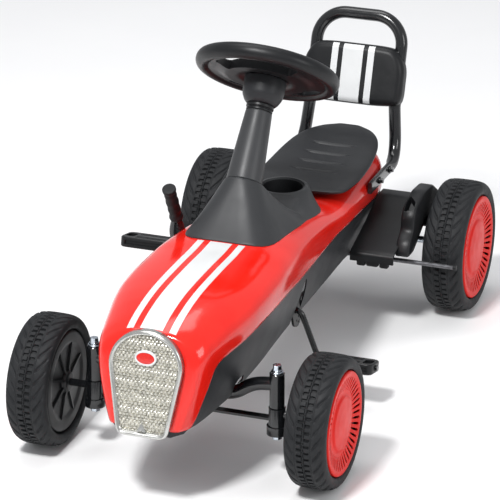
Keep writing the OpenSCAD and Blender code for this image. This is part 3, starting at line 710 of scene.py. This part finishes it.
def on_column(flat, height):
    """Puts a flat line square on the column, height above the wheel's middle."""
    return tilted(np.column_stack([flat, np.full(len(flat), float(height))]), COLUMN, COLUMN_LEAN)


def on_pocket(radius, z):
    """A level circle round the middle of the cup pocket."""
    return np.column_stack([circle(radius, AROUND) + POCKET, np.full(AROUND, float(z))])


def on_hood(half_x, y0, y1, square, lift):
    """A rounded square of a given width from y0 to y1, laid on the hood."""
    c, s = circle(1, AROUND).T
    x = half_x * squared(c, square)
    y = (y0 + y1) / 2 + (y1 - y0) / 2 * squared(s, square)
    return np.column_stack([x, y, top_z(x, y) + lift])


def between(low, high, shares, sag):
    """Rings from one ring to another, sagging a little half way up."""
    return [low + (high - low) * k - (0, 0, sag * math.sin(math.pi * k)) for k in shares]


# %% Shroud
base, top = on_hood(81, -186, 40, 5, 0.8), on_column(circle(32.5, AROUND), -196)
slope = [on_hood(77, -181, 36, 5, -5), on_hood(80, -185, 39, 5, 0.2)]
for share in np.linspace(0, 1, 12):
    ring = base + (top - base) * share
    pinch = 1 - 0.045 * math.sin(math.pi * share)
    ring[:, 0] *= pinch
    ring[:, 1] = -95 + (ring[:, 1] + 95) * pinch
    slope.append(ring)
cone = closed_loft(slope)
cup = [on_pocket(POCKET_R + 3, 250), on_hood(73, -26, 148, 2.7, -5)]
cup += between(on_hood(77, -30, 152, 2.7, 0.8), on_pocket(POCKET_R + 9, 309),
               np.linspace(0, 1, 8), 3.5)
cup += [on_pocket(POCKET_R + 6, 311), on_pocket(POCKET_R - 8, 311.5)]
flank = [on_hood(74, -160, 140, 4, -6), on_hood(78.6, -168, 146, 4.2, 0.8)]
shelf = on_hood(46, -90, 112, 3, 0)
shelf[:, 2] = 307
flank += between(flank[1], shelf, np.linspace(0.15, 1, 7), 4)
shroud = fuse("column_shroud_grey", [cone, closed_loft(cup), closed_loft(flank)], 1.7, 12,
              shroud_grey)
carve(shroud, [closed_loft([on_pocket(POCKET_R + grow, z) for grow, z in
                            ((-2, 248), (0, 306), (1.6, 311), (3, 316))])], 50)
mount(shroud, "chassis", "shroud_grey", "column_shroud")

# %% Lining of the cup pocket
lining = closed_loft([on_pocket(radius, z) for radius, z in
                      ((3, 253.4), (POCKET_R - 6, 253.2), (POCKET_R - 2.2, 256),
                       (POCKET_R - 0.2, 304), (POCKET_R + 0.4, 308), (POCKET_R - 1.2, 308),
                       (POCKET_R - 1.8, 303), (POCKET_R - 3.8, 257), (POCKET_R - 7, 254.6),
                       (3, 254.6))])
mount(mesh_piece("cup_pocket_lining", *lining, moulded_black), "chassis", "black_plastic")

# %% [markdown]
# ## Steering column
# The column is turned work: a tapered cover, a black collar, and under the wheel a bulged boot
# that narrows at the bottom. Each is a profile of radius and height carried round the column.

# %% Turned pieces on the column
def turned_on_column(name, profile, material, body, slot, node, cut=2.0):
    """A solid of revolution round the column, its corners eased by cut."""
    rings = [on_column(circle(radius, AROUND), height)
             for radius, height in soften(profile, cut, steps=5)]
    mount(mesh_piece(name, *closed_loft(rings), material), body, slot, node)


turned_on_column("column_cover_grey", [(10, -196), (30.5, -196), (29.2, -170), (25.6, -118),
                                       (22.9, -78), (22.5, -73.2), (10, -73.2)],
                 cover_grey, "chassis", "shroud_grey", "column_cover")
turned_on_column("column_collar_black", [(8, -72.8), (22.4, -72.8), (22.4, -69.5), (21, -69),
                                         (21, -67.6), (23.4, -67), (23.4, -61.9), (8, -61.9)],
                 moulded_black, "chassis", "black_plastic", "column_collar", 0.8)
turned_on_column("wheel_boot_black", [(8, -61.2), (23.8, -61.2), (29, -56), (34, -46),
                                      (35.6, -34), (35.9, -14.6), (8, -14.6)],
                 seat_black, "steering", "black_plastic", "wheel_boot", 3)

# %% [markdown]
# ## Steering wheel
# A child's wheel is one moulding: a fat rim, a deep dish and finger holes between the spokes.
# Rim, dish and hub are fused on a fine grid so that they flow together, and the holes are cut
# with rounded kidneys.

# %% Wheel
RIM_R, RIM_WIDE, RIM_DEEP, RIM_DROP = 110.5, 12.4, 14.0, 2.2
AROUND_WHEEL = 144
rim_rings = [on_column(circle(RIM_R + a, AROUND_WHEEL), b - RIM_DROP)
             for a, b in circle(1, 24) * (RIM_WIDE, RIM_DEEP)]
rim_solid = (np.vstack(rim_rings), grid_faces(24, AROUND_WHEEL, wrap_rows=True))
dish_profile = soften([(0.5, -15), (38, -15), (48, -19), (72, -18), (84, -13), (96, -12),
                       (106, -9), (108, 3), (96, 4), (84, -1.5), (60, -2.5), (0.5, -2.5)], 4,
                      steps=4)
dish = closed_loft([on_column(circle(radius, AROUND_WHEEL), height)
                    for radius, height in dish_profile])


def kidney(r0, r1, a0, a1):
    """A rounded hole between two radii and two angles, through the dish."""
    a = np.radians(np.linspace(a0, a1, 13))
    ends = [(r * math.cos(t), r * math.sin(t))
            for r, run in ((r1, a), (r0, a[::-1])) for t in run]
    line = even(soften(ends, (r1 - r0) * 0.42, True), 72, True)
    return closed_loft([on_column(line, height) for height in (-40, 30)])


wheel = fuse("steering_wheel_black", [rim_solid, dish], 1.6, 6, moulded_black)
carve(wheel, [kidney(68, 96, -142, -38), kidney(68, 97, 30, 66), kidney(68, 97, 114, 150)], 50)
mount(wheel, "steering", "black_plastic", "steering_wheel")

# %% Centre cap of the wheel
turned_on_column("wheel_cap_black", [(0.5, -1.8), (43.6, -1.8), (42, 3.6), (38, 6), (26, 8.6),
                                     (14, 8.9), (0.5, 9)],
                 seat_black, "steering", "black_plastic", "wheel_cap", 3)

# %% [markdown]
# ## Seat
# The seat is a thin moulded saddle with a thick rounded lip and four tapered grooves across it.
# Rings run across the seat at every two millimetres, so the grooves can be pressed in as relief:
# steep on the rear side, soft on the front side, dying out to nothing at their ends.

# %% Seat
# place, half width, height, thickness
SEAT = np.array([(189, 60, 271, 4), (193, 76, 273, 9), (206, 85, 274, 12), (235, 89, 274, 13),
                 (270, 91, 275, 14), (310, 90, 277, 14), (350, 87, 281, 14), (390, 81, 286, 14),
                 (420, 72, 290, 14), (445, 58, 293, 13), (462, 42, 294, 11), (474, 22, 294, 6)],
                float)
GROOVES = ((279, 44), (316, 45), (352, 44), (388, 42))  # place, half length
GROOVE_DEEP = 4.2


def groove_depth(x, y):
    """How deep the grooves are, steep at the rear side and soft at the front side."""
    depth = np.zeros_like(x)
    for place, half in GROOVES:
        soft = np.clip(1 - np.abs(y - place) / np.where(y > place, 2.4, 8.0), 0, 1)
        depth += GROOVE_DEEP * soft**1.3 * np.clip(1.3 - (np.abs(x) / half)**2.5 * 1.3, 0, 1)
    return depth


seat_y = np.concatenate([np.linspace(189, 200, 12), np.linspace(202, 462, 131),
                         np.linspace(463, 474, 12)])
c, s = circle(1, 128).T
rings = []
for y in seat_y:
    half, high, thick = (through(SEAT[:, 0], SEAT[:, k], y) for k in (1, 2, 3))
    x = half * squared(c, 3.4)
    z = high + 4 + thick / 2 * (squared(s, 3) - 1) + 7 * (x / 90)**2
    z -= np.where(s > 0, groove_depth(x, np.full_like(x, y)), 0)
    rings.append(np.column_stack([x, np.full_like(x, y), z]))
seat = mesh_piece("seat_saddle", *closed_loft(rings), seat_black, sharp=60)
mount(seat, "chassis", "black_plastic", "seat_pan")

# %% [markdown]
# ## Backrest
# One glossy tube is bent into a hoop, and its lower ends are pressed flat and bolted beside
# the seat. A section that changes from round to flat along the sweep gives that. The pad is a
# squared moulding with large upper shoulders and a crowned front, and its white bands are
# strips lifted from the same crowned surface.

# %% Hoop
HOOP, HOOP_LEAN = (0.0, 489.6, 335.0), 18.8
TUBE_R, STRAP_LONG, BEND_R = 11, 112, 52
low = [(91, 318, 242), (91, 404, 242), (91, 440, 242), (89, 464, 252), (86, 479, 276),
       (80.3, 489.6, 335)]
bend = tilted([(28.3 + BEND_R * math.cos(a), 0, 109 + BEND_R * math.sin(a))
               for a in np.linspace(0, np.pi / 2, 14)], HOOP, HOOP_LEAN)
side_path = np.vstack([soften(low, 14, steps=5), bend])
path = even(np.vstack([side_path, (side_path * (-1, 1, 1))[::-1]]), 240)
strap_share = STRAP_LONG / np.linalg.norm(np.diff(path, axis=0), axis=1).sum()


def hoop_section(done):
    """Round tube, pressed to an upright strap at both ends."""
    press = np.clip((strap_share + 0.022 - min(done, 1 - done)) / 0.035, 0, 1)
    press = press * press * (3 - 2 * press)
    c, s = circle(1, 28).T
    square = 2 + 2.5 * press
    return np.column_stack([(TUBE_R - 7 * press) * squared(c, square),
                            TUBE_R * squared(s, square)])


hoop = mesh_piece("backrest_tube", *closed_loft(swept(path, hoop_section)), tube_black)
mount(hoop, "chassis", "frame_paint", "backrest_hoop")

# %% Pad
PAD = [(-88, 2), (-95.5, 14), (-95.5, 74), (-78, 104), (-50, 107.5), (50, 107.5), (78, 104),
       (95.5, 74), (95.5, 14), (88, 2), (50, -1.5), (-50, -1.5)]
outline = even(soften(PAD, 16, True), 160, True)
ROUND, PAD_CROWN = 13.0, 5.5


def pad_front(x, inset):
    """How far forward the pad's face is, inset millimetres from its edge."""
    edge = ROUND - np.minimum(inset, ROUND)
    return -30.4 + PAD_CROWN * (np.abs(x) / 96)**2.2 + ROUND - np.sqrt(ROUND**2 - edge**2)


rings = [np.column_stack([outline[:, 0], np.full(160, 1.5), outline[:, 1]])]
for inset in ROUND * (1 - np.cos(np.linspace(0.02, np.pi / 2, 10))):
    x, z = (outline + inside_of(outline) * inset).T
    rings.append(np.column_stack([x, pad_front(x, inset), z]))
centre = np.array([0, 53.0])
for share in (0.8, 0.55, 0.3, 0.08):
    x, z = (centre + (outline + inside_of(outline) * ROUND - centre) * share).T
    rings.append(np.column_stack([x, pad_front(x, ROUND), z]))
pad = mesh_piece("backrest_pad", *closed_loft([tilted(r, HOOP, HOOP_LEAN) for r in rings]),
                 moulded_black, sharp=50)
mount(pad, "chassis", "black_plastic", "backrest_panel")


# %% Bands on the pad
def pad_band(x0, x1):
    """An upright strip between two places across the pad, lifted from its face."""
    xs, rows = np.linspace(x0, x1, 7), []
    for z in np.linspace(1.2, 104.8, 60):
        y = pad_front(xs, min(z + 1.5, 107.5 - z))
        rows.append(np.vstack([np.column_stack([xs, y - FILM, np.full(7, z)]),
                               np.column_stack([xs, y - 0.02, np.full(7, z)])[::-1]]))
    return closed_loft([tilted(r, HOOP, HOOP_LEAN) for r in rows])


mount(mesh_piece("pad_bands", *joined([pad_band(-19, 19), pad_band(28, 40), pad_band(-40, -28)]),
                 white_film), "chassis", "white_film", "backrest_stripes")

# %% [markdown]
# ## Rear cover
# A satin deck slopes up behind the rider between the rear wheels, with a turned-down front lip
# and a hump over the inside of each wheel. The deck is a profile drawn from the side and carried
# across, thickened to a wall. Each hump is a rounded block with a triangular hollow.

# %% Deck
deck_line = soften([(228, 139), (228, 151), (233, 157), (300, 176), (390, 206), (420, 205),
                    (450, 178), (451, 130)], 7, steps=5)
DECK_X, GAP_X, DECK_WALL = 164, 84.6, 4


def sheet(line, x0, x1, count):
    """A line of (y, z) carried across the kart."""
    points = [(x, y, z) for x in np.linspace(x0, x1, count) for y, z in line]
    return points, grid_faces(count, len(line), wrap_columns=False)


rear_wall = [p for p in deck_line if p[0] > 444]
deck = mesh_piece("rear_deck", *joined([sheet(deck_line, -DECK_X, -GAP_X, 22),
                                        sheet(deck_line, GAP_X, DECK_X, 22),
                                        sheet(rear_wall, -GAP_X, GAP_X, 12)]), moulded_black)
thicken(deck, DECK_WALL)
ease_edges(deck, 1.2)
mount(deck, "chassis", "dark_panel", "rear_cover")

# %% Humps over the rear wheels
hump_line = [(250, 146), (262, 172), (284, 187), (284, 208), (300, 227), (345, 239), (395, 235),
             (434, 209), (451, 172), (451, 130), (440, 128), (436, 165), (410, 184), (350, 184),
             (305, 162), (290, 146)]
outline = even(soften(hump_line, 10, True), 110, True)
hollow = even(soften([(-9, -17), (8, -8), (7, 6), (-9, 26)], 4, True), 40, True)
HOLLOW_MIDDLE = np.array([172, 306, 224])
UP_SLOPE, OFF_SLOPE = np.array([0, 0.89, 0.45]), np.array([0, -0.45, 0.89])
for side_name, side in SIDES.items():
    rings = [np.column_stack([np.full(110, side * x), outline + inside_of(outline) * pull])
             for x, pull in ((159.5, 3), (160.3, 1.2), (162.5, 0), (181.5, 0), (183.8, 1.2),
                             (184.6, 3))]
    hump = mesh_piece("rear_hump_" + side_name, *closed_loft(rings), moulded_black, sharp=45)
    cutter = [[(HOLLOW_MIDDLE + (a * size, 0, 0) + UP_SLOPE * b * size + OFF_SLOPE * off)
               * (side, 1, 1) for a, b in hollow]
              for size, off in ((1.05, 14), (1.0, 1), (0.6, -9))]
    carve(hump, [closed_loft(cutter)], 45)
    mount(hump, "chassis", "dark_panel")

# %% Lugs under the deck's front lip
lugs = [upright(rounded_box(half, 6, 3, 24) + (side * x, y), 130, 143, 1.5)
        for side in SIDES.values()
        for x, y, half in ((104, 236, 8), (124, 238, 11), (146, 236, 8))]
mount(mesh_piece("deck_lugs", *joined(lugs), moulded_black), "chassis", "dark_panel")

# %% [markdown]
# ## Tyres
# The foam tyres have a centre band of two staggered columns of blocks with a stepped groove
# between them, and curved slashes on the shoulders. A tread modelled block by block is heavy and
# leaves gaps; here a fine grid runs round the tyre and one function says how deep the tread is
# at any angle and any distance from the middle.

# %% Tread
def ramp(value, low, high):
    """0 below low, 1 above high, and even between them."""
    return np.clip((value - low) / (high - low), 0, 1)


def tread_depth(angle, across):
    """Depth of the tread in millimetres; across is the distance from the middle of the tyre."""
    step = angle * PITCHES / (2 * np.pi)
    away = np.abs(across)
    side = np.where(across > 0, 0.5, 0.0)
    phase = (step + side) % 1
    slot = ramp(phase, 0.0, 0.08) * (1 - ramp(phase, 0.42, 0.50))
    depth = 3.6 * slot * ramp(away, 1.2, 2.0) * (1 - ramp(away, 9.6, 11.0))
    zigzag = 1.4 * np.where(step % 1 < 0.5, 1, -1)
    depth = np.maximum(depth, 1.8 * (1 - ramp(np.abs(across - zigzag), 0.3, 0.9)))
    depth = np.maximum(depth, 1.2 * (1 - ramp(np.abs(away - 13.0), 0.5, 1.6)))
    swirl = step * 0.5 + side + 0.045 * (away - 15) + 0.0012 * (away - 15)**2
    blade = np.abs(swirl % 1 - 0.5)
    slash = (1 - ramp(blade, 0.10, 0.2)) * ramp(away, 15, 18) * (1 - ramp(away, 29, 33))
    return np.maximum(depth, 2.4 * slash)


TURNS, PITCHES = 720, 60
BEAD = 0.787  # share of the tyre's radius


def tyre_rings(radius, width, centre, side):
    half, bead = width / 2, radius * BEAD
    profile = soften([(bead, -half + 8), (bead + 2, -half + 2.4), (radius - 14, -half),
                      (radius - 6, -half + 3), (radius - 1.5, -half + 10), (radius - 0.2, -15),
                      (radius, -8), (radius, 8), (radius - 0.2, 15), (radius - 1.5, half - 10),
                      (radius - 6, half - 3), (radius - 14, half), (bead + 2, half - 2.4),
                      (bead, half - 8)], 6, steps=5)
    rings = []
    for r, along in even(profile, 110):
        tread = tread_depth(around(TURNS), np.full(TURNS, along)) if r > radius - 9 else 0
        rings.append(np.column_stack([np.full(TURNS, centre[0] + side * along),
                                      circle(r - tread, TURNS) + centre[1:]]))
    return rings


# %% Four tyres
WHEELS = {"front_left": ("wheel_front_left", 1), "front_right": ("wheel_front_right", -1),
          "rear_left": ("rear_set", 1), "rear_right": ("rear_set", -1)}
for wheel_name, (body, side) in WHEELS.items():
    node = wheel_name + "_tyre"
    size = extent(node)
    rings = tyre_rings(size[2] / 2, size[0], middle(node), side)
    tyre = mesh_piece(wheel_name + "_tyre_rubber", np.vstack(rings),
                      grid_faces(len(rings), TURNS, wrap_rows=True), tyre_rubber, sharp=55)
    mount(tyre, body, "tyre", node)

# %% [markdown]
# ## Red caps and black discs
# Each outer cap is a flat ring, a ring of narrow radial slots falling inwards, and a smooth dome.
# The slots are open, so the faces between them are left out of the turned grid and the rest is
# thickened. On the inside a black disc with eight ribs closes the wheel.

# %% Caps
SLOTS, PER_SLOT = 44, 12
SLOTS_FROM, SLOTS_LONG = 0.63, 0.25  # shares of the bead's radius


def cap_piece(name, bead, half, centre, side):
    """A red cap inside the bead of a tyre of a given half width."""
    profile = soften([(bead - 0.8, half - 8), (bead - 0.8, half - 1.8), (bead * 0.955, half - 0.6),
                      (bead * 0.90, half - 1.6), (bead * 0.62, half - 7.4),
                      (bead * 0.55, half - 7.0), (bead * 0.50, half - 4.2),
                      (bead * 0.3, half - 2.6), (1.0, half - 2.0)], 2.2, steps=4)
    line = even(profile, 74)
    turns = SLOTS * PER_SLOT
    points = np.vstack(turned(line, centre, side, turns))
    faces = []
    for i in range(len(line) - 1):
        share = ((line[i][0] + line[i + 1][0]) / 2 / bead - SLOTS_FROM) / SLOTS_LONG
        wide, shift = (5, 0) if 0.25 < share < 0.9 else (3, -1)  # slots narrow at their ends
        for j in range(turns):
            if 0 < share < 1 and (j + shift) % PER_SLOT < wide:
                continue
            k = (j + 1) % turns
            faces.append((i * turns + j, (i + 1) * turns + j, (i + 1) * turns + k, i * turns + k))
    faces.append(tuple((len(line) - 1) * turns + j for j in range(turns)))
    piece = mesh_piece(name, points, faces, red_satin, sharp=40)
    thicken(piece, 1.8)
    return piece


# %% Discs
RIBS = 8


def disc_piece(name, bead, half, centre, side):
    """Ribbed closing disc on the inside, with a dark wall behind the cap's slots."""
    profile = soften([(6.2, -half - 1), (14.5, -half - 1), (17, -half + 1), (19, -half + 7),
                      (bead - 27, -half + 7.5), (bead - 20, -half + 4.5), (bead - 4, -half + 4.2),
                      (bead - 0.6, -half + 8.5), (bead - 0.6, half - 12), (bead - 6, half - 12),
                      (6.2, half - 13)], 2, steps=4)
    solids = [closed_loft(turned(profile, centre, side, 96))]
    for k in range(RIBS):
        turn = 2 * math.pi * (k + 0.5) / RIBS
        out = np.array([math.cos(turn), math.sin(turn)])
        over = np.array([-out[1], out[0]])
        rib = []
        for r, rise, wide in ((13, 1.5, 3.4), (22, 3.6, 3.0), (bead - 24, 4.6, 2.2),
                              (bead - 17, 6, 2)):
            corners = [(-wide, 12), (-wide * 0.7, rise), (wide * 0.7, rise), (wide, 12)]
            rib.append([(centre[0] + side * (a - half), *(centre[1:] + out * r + over * o))
                        for o, a in corners])
        solids.append(closed_loft(rib))
    return mesh_piece(name, *joined(solids), moulded_black, sharp=30)


# %% Caps and discs in the four wheels
for wheel_name, (body, side) in WHEELS.items():
    size, centre = extent(wheel_name + "_tyre"), middle(wheel_name + "_tyre")
    bead, half = size[2] / 2 * BEAD, size[0] / 2
    mount(cap_piece(wheel_name + "_cap_red", bead, half, centre, side), body, "red_cap",
          wheel_name + "_cap")
    mount(disc_piece(wheel_name + "_disc_black", bead, half, centre, side), body,
          "black_plastic", wheel_name + "_disc")

# %% [markdown]
# ## Front beam and crank
# Both are bent tubes: the beam dips under the body and rises to the king pins, and the crank is
# one long rod with a pedal arm on each side. A circle swept along an eased line gives true bends.

# %% Beam with its upright tubes
front = middle("kingpin_bolts")
beam_ends = [(-154, 162), (-118, 158), (-84, 134), (84, 134), (118, 158), (154, 162)]
beam_path = even(soften([(x, front[1], z) for x, z in beam_ends], 18, steps=9), 90)
KINGPIN_X = 158
upright_tube = [(9, 122), (11.6, 122), (12.5, 123), (12.5, 181), (11.6, 182), (9, 182)]
solids = [closed_loft(swept(beam_path, circle(TUBE_R, 24)))]
for side in SIDES.values():
    solids.append(closed_loft([
        np.column_stack([circle(r, 128) + (side * KINGPIN_X, front[1]), np.full(128, float(z))])
        for r, z in upright_tube]))
solids.append(upright(rounded_box(17, 14, 3, 32) + (0, front[1]), 134, 145.5, 1))
mount(mesh_piece("front_beam_tube", *joined(solids), tube_black), "chassis", "frame_paint",
      "front_beam")

# %% Crank rod
shaft = middle("crank_sprocket")
THROW = 86
crank_line = []
for side in SIDES.values():
    arm = [(230, -THROW * side), (130, -THROW * side), (122, -(THROW - 8) * side), (92, 0)]
    arm = [(side * x, shaft[1], shaft[2] + z) for x, z in arm]
    crank_line += arm if side > 0 else arm[::-1]
crank_path = even(soften(crank_line, 12, steps=7), 220)
crank_rod = mesh_piece("crank_rod_bent", *closed_loft(swept(crank_path, circle(5, 18))),
                       tube_black)
mount(crank_rod, "crank", "frame_paint", "crank_rod")

# %% Perforated bracket round each end of the crank's bush
bracket = even(soften([(-80, 180), (-34, 180), (-22, 136), (-42, 122), (-62, 128)], 9, True), 60,
               True)
HOLES = [(shaft[1], shaft[2], 7)] + [(y, z, 2.2) for y, z in
                                     ((-50, 136), (-42, 131), (-34, 137), (-42, 141), (-70, 173))]
for side_name, side in SIDES.items():
    piece = mesh_piece("crank_bracket_" + side_name, *slab(bracket, side * 79.4, side * 83.4),
                       moulded_black)
    carve(piece, [closed_loft(turned([(radius, 70), (radius, 95)], (0, y, z), side, 24))
                  for y, z, radius in HOLES])
    ease_edges(piece, 0.6)
    mount(piece, "chassis", "black_plastic")

# %% [markdown]
# ## Pedals
# A pedal is a rounded black block, ribbed lengthwise, with an oval pocket at its outer end.
# The block is stood up from its outline with drawn-in rims, and grooves and the pocket are cut.

# %% Pedals
PEDAL_LEAN = 12
cutters = []
for z0, z1 in ((6, 20), (-20, -6)):
    for y in (-17.5, -9.5, 9.5, 17.5):
        cutters.append(upright(rounded_box(31, 2.2, 2, 24) + (-9, y), z0, z1))
    cutters.append(upright(rounded_box(8, 14, 7, 40) + (33, 0), z0 - math.copysign(2, z0), z1))
for y in (-29, 29):
    cutters.append(upright(rounded_box(38, 6, 3, 32) + (0, y), -3.5, 3.5))
block = upright(rounded_box(46, 25.5, 11, 64), -9, 9, 1.6)
for side_name, side in SIDES.items():
    node = "pedal_" + side_name
    placed = [(tilted(points * (side, 1, 1), middle(node), PEDAL_LEAN), faces)
              for points, faces in [block] + cutters]
    piece = mesh_piece(node + "_block", *placed[0], moulded_black, sharp=30)
    carve(piece, placed[1:], 30)
    mount(piece, "pedal_" + side_name[0], "black_plastic", node)

# %% [markdown]
# ## Hand brake
# A flat lever with a moulded grip stands beside the hood. The grip swells between the fingers
# and ends in a flat button, so its profile is swept along the lever's own line.

# %% Grip
pivot = np.array([middle("brake_grip")[0], -82.0, 264.0])
grip_low, reach = np.array([pivot[0], -84, 306.0]), np.array([0, -36, 68.0])
grip_long = np.linalg.norm(reach)
# share of the way up and radius
stops = [(0.02, 4), (0.02, 10.5), (0.08, 12.4), (0.14, 11.4), (0.20, 9.8), (0.33, 11.2),
         (0.45, 10.2), (0.58, 11.4), (0.70, 10.2), (0.80, 10.9), (0.88, 10.2), (0.92, 11.9),
         (0.985, 11.9), (1.0, 10.8), (1.0, 2)]
stops = soften([(k * 76, r) for k, r in stops], 2.2, steps=4)
across = np.array([1.0, 0, 0])
third = np.cross(reach / grip_long, across)
rings = [[grip_low + reach * (k / 76) + r * (a * across + b * third) for a, b in circle(1, 32)]
         for k, r in stops]
mount(mesh_piece("brake_grip_rubber", *closed_loft(rings), grip_black), "hand_brake",
      "black_plastic", "brake_grip")


# %% Lever with its pin and short arm
def lever_section(done):
    """Flat and broad half way up, and round at the grip."""
    return circle(1, 24) * (6.5 + 7.5 * math.sin(math.pi * min(1, done * 1.35))**0.8, 6.5)


def on_pivot(radius, x0, x1, cut, steps, turns):
    """A round pin on the lever's pivot."""
    profile = soften([(1, x0), (radius, x0), (radius, x1), (1, x1)], cut, steps=steps)
    return closed_loft(turned(profile, (0, pivot[1], pivot[2]), 1, turns))


lever_path = even(soften([pivot + (0, 2, -9), pivot + (0, -1, 16), grip_low,
                          grip_low + reach * 0.3], 10, steps=6), 40)
solids = [closed_loft(swept(lever_path, lever_section)),
          on_pivot(5, -46.2, -126.2, 0.6, 3, 24), on_pivot(9.5, -112, -126, 1.5, 4, 40),
          slab(rounded_box(7, 13, 6.5, 32) + (pivot[1], pivot[2] - 6.5), -54, -46.3)]
mount(mesh_piece("brake_lever_black", *joined(solids), tube_black), "hand_brake", "frame_paint",
      "brake_lever")

# %% [markdown]
# ## What stays as the frame made it
# Bolts, bushes, sprockets and links are simple turned or flat parts, and the frame already has
# them right. They keep their shape, get a finish, and where it shows an eased edge, so that
# light catches the rims.

# %% Finishes on the frame's own parts
# finish and width of the eased edge, in millimetres
KEPT = {"frame_spine": (tube_black, 1.2), "nose_tray": (panel_grey, 2.0),
        "seat_bolts": (zinc, 0.3), "hoop_bolts": (tube_black, 0.4), "axle_bushes": (nylon, 0.3),
        "crank_bushes": (nylon, 0.3), "kingpin_bolts": (zinc, 0.7), "drive_chain": (steel, 0.4),
        "steering_shaft": (zinc, 0.4), "tie_rod": (tube_black, 0.8),
        "knuckle_left": (tube_black, 1.0), "knuckle_right": (tube_black, 1.0),
        "rear_axle": (zinc, 0.4), "axle_sprocket": (steel, 0.3), "crank_sprocket": (steel, 0.3),
        "brake_link": (steel, 0.4), "brake_bar": (steel, 0.5), "brake_tips": (grip_black, 0.5)}
for node, (material, edge) in KEPT.items():
    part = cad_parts[node]
    part.data.materials.clear()
    part.data.materials.append(material)
    weld = part.modifiers.new("Weld", "WELD")
    weld.merge_threshold = 0.00001
    ease_edges(part, edge)
print(len(KEPT), "parts keep the frame's shape")

# %% [markdown]
# ## Studio
# The kart stands on a pale floor that fills the view. One strong soft light in front and above
# throws its shadow backwards, a wide one overhead gives the gloss its long reflections, one at
# the side lifts the wheels, and the pale surroundings fill in the rest. The camera looks from
# the front left, a little above.

# %% Floor and surroundings
scene = bpy.context.scene
FLOOR, FLOOR_Z = 9, -0.0005
floor_mesh = bpy.data.meshes.new("studio_floor")
floor_mesh.from_pydata([(x * FLOOR, y * FLOOR, FLOOR_Z)
                        for x, y in ((-1, -1), (1, -1), (1, 1), (-1, 1))], [], [(0, 1, 2, 3)])
floor = bpy.data.objects.new("studio_floor", floor_mesh)
scene.collection.objects.link(floor)
floor_mesh.materials.append(finish("floor_paper", (0.90, 0.90, 0.90), (0.92, 0.92, 0.92),
                                   (0.8, 0.9), blotch=0.5, grain=0.01, depth=0.00001))
floor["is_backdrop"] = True

world = bpy.data.worlds.new("studio")
scene.world = world
world.use_nodes = True
sky = world.node_tree.nodes["Background"]
sky.inputs["Color"].default_value = (0.96, 0.97, 1.0, 1)
sky.inputs["Strength"].default_value = 0.55


# %% Lights
def soft_light(name, place, aim, size, power):
    """An area light of a size in metres and a power in watts, pointed at aim."""
    data = bpy.data.lights.new(name, "AREA")
    data.shape, data.size, data.size_y, data.energy = "RECTANGLE", size[0], size[1], power
    light = bpy.data.objects.new(name, data)
    scene.collection.objects.link(light)
    light.location = place
    light.rotation_euler = (Vector(aim) - Vector(place)).to_track_quat("-Z", "Y").to_euler()


soft_light("key", (-0.30, -2.3, 3.3), (0, 0, 0.2), (0.5, 0.5), 125)
soft_light("overhead", (-0.6, 0.6, 3.2), (0, 0, 0.2), (2.4, 1.2), 30)
soft_light("side", (3.2, -0.6, 1.8), (0, 0, 0.3), (1.0, 1.4), 22)

print(len(bpy.data.lights), "lights")

# %% Camera
lens = bpy.data.cameras.new("camera")
lens.lens, lens.sensor_width = 242.26, 36
camera = bpy.data.objects.new("camera", lens)
scene.collection.objects.link(camera)
eye, target = Vector((1.79692, -4.97420, 2.40155)), Vector((-0.02053, 0.00422, 0.22917))
camera.location = eye
camera.rotation_euler = (target - eye).to_track_quat("-Z", "Y").to_euler()
bpy.context.scene.camera = camera
scene.view_settings.view_transform = "Standard"
print("camera", round((eye - target).length, 2), "metres away")

# %% Compare sizes and finish
seen_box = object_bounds()
for name, box in (("CAD", cad_box), ("visual", seen_box)):
    print(name, "box:", [round(v, 4) for corner in box for v in corner])
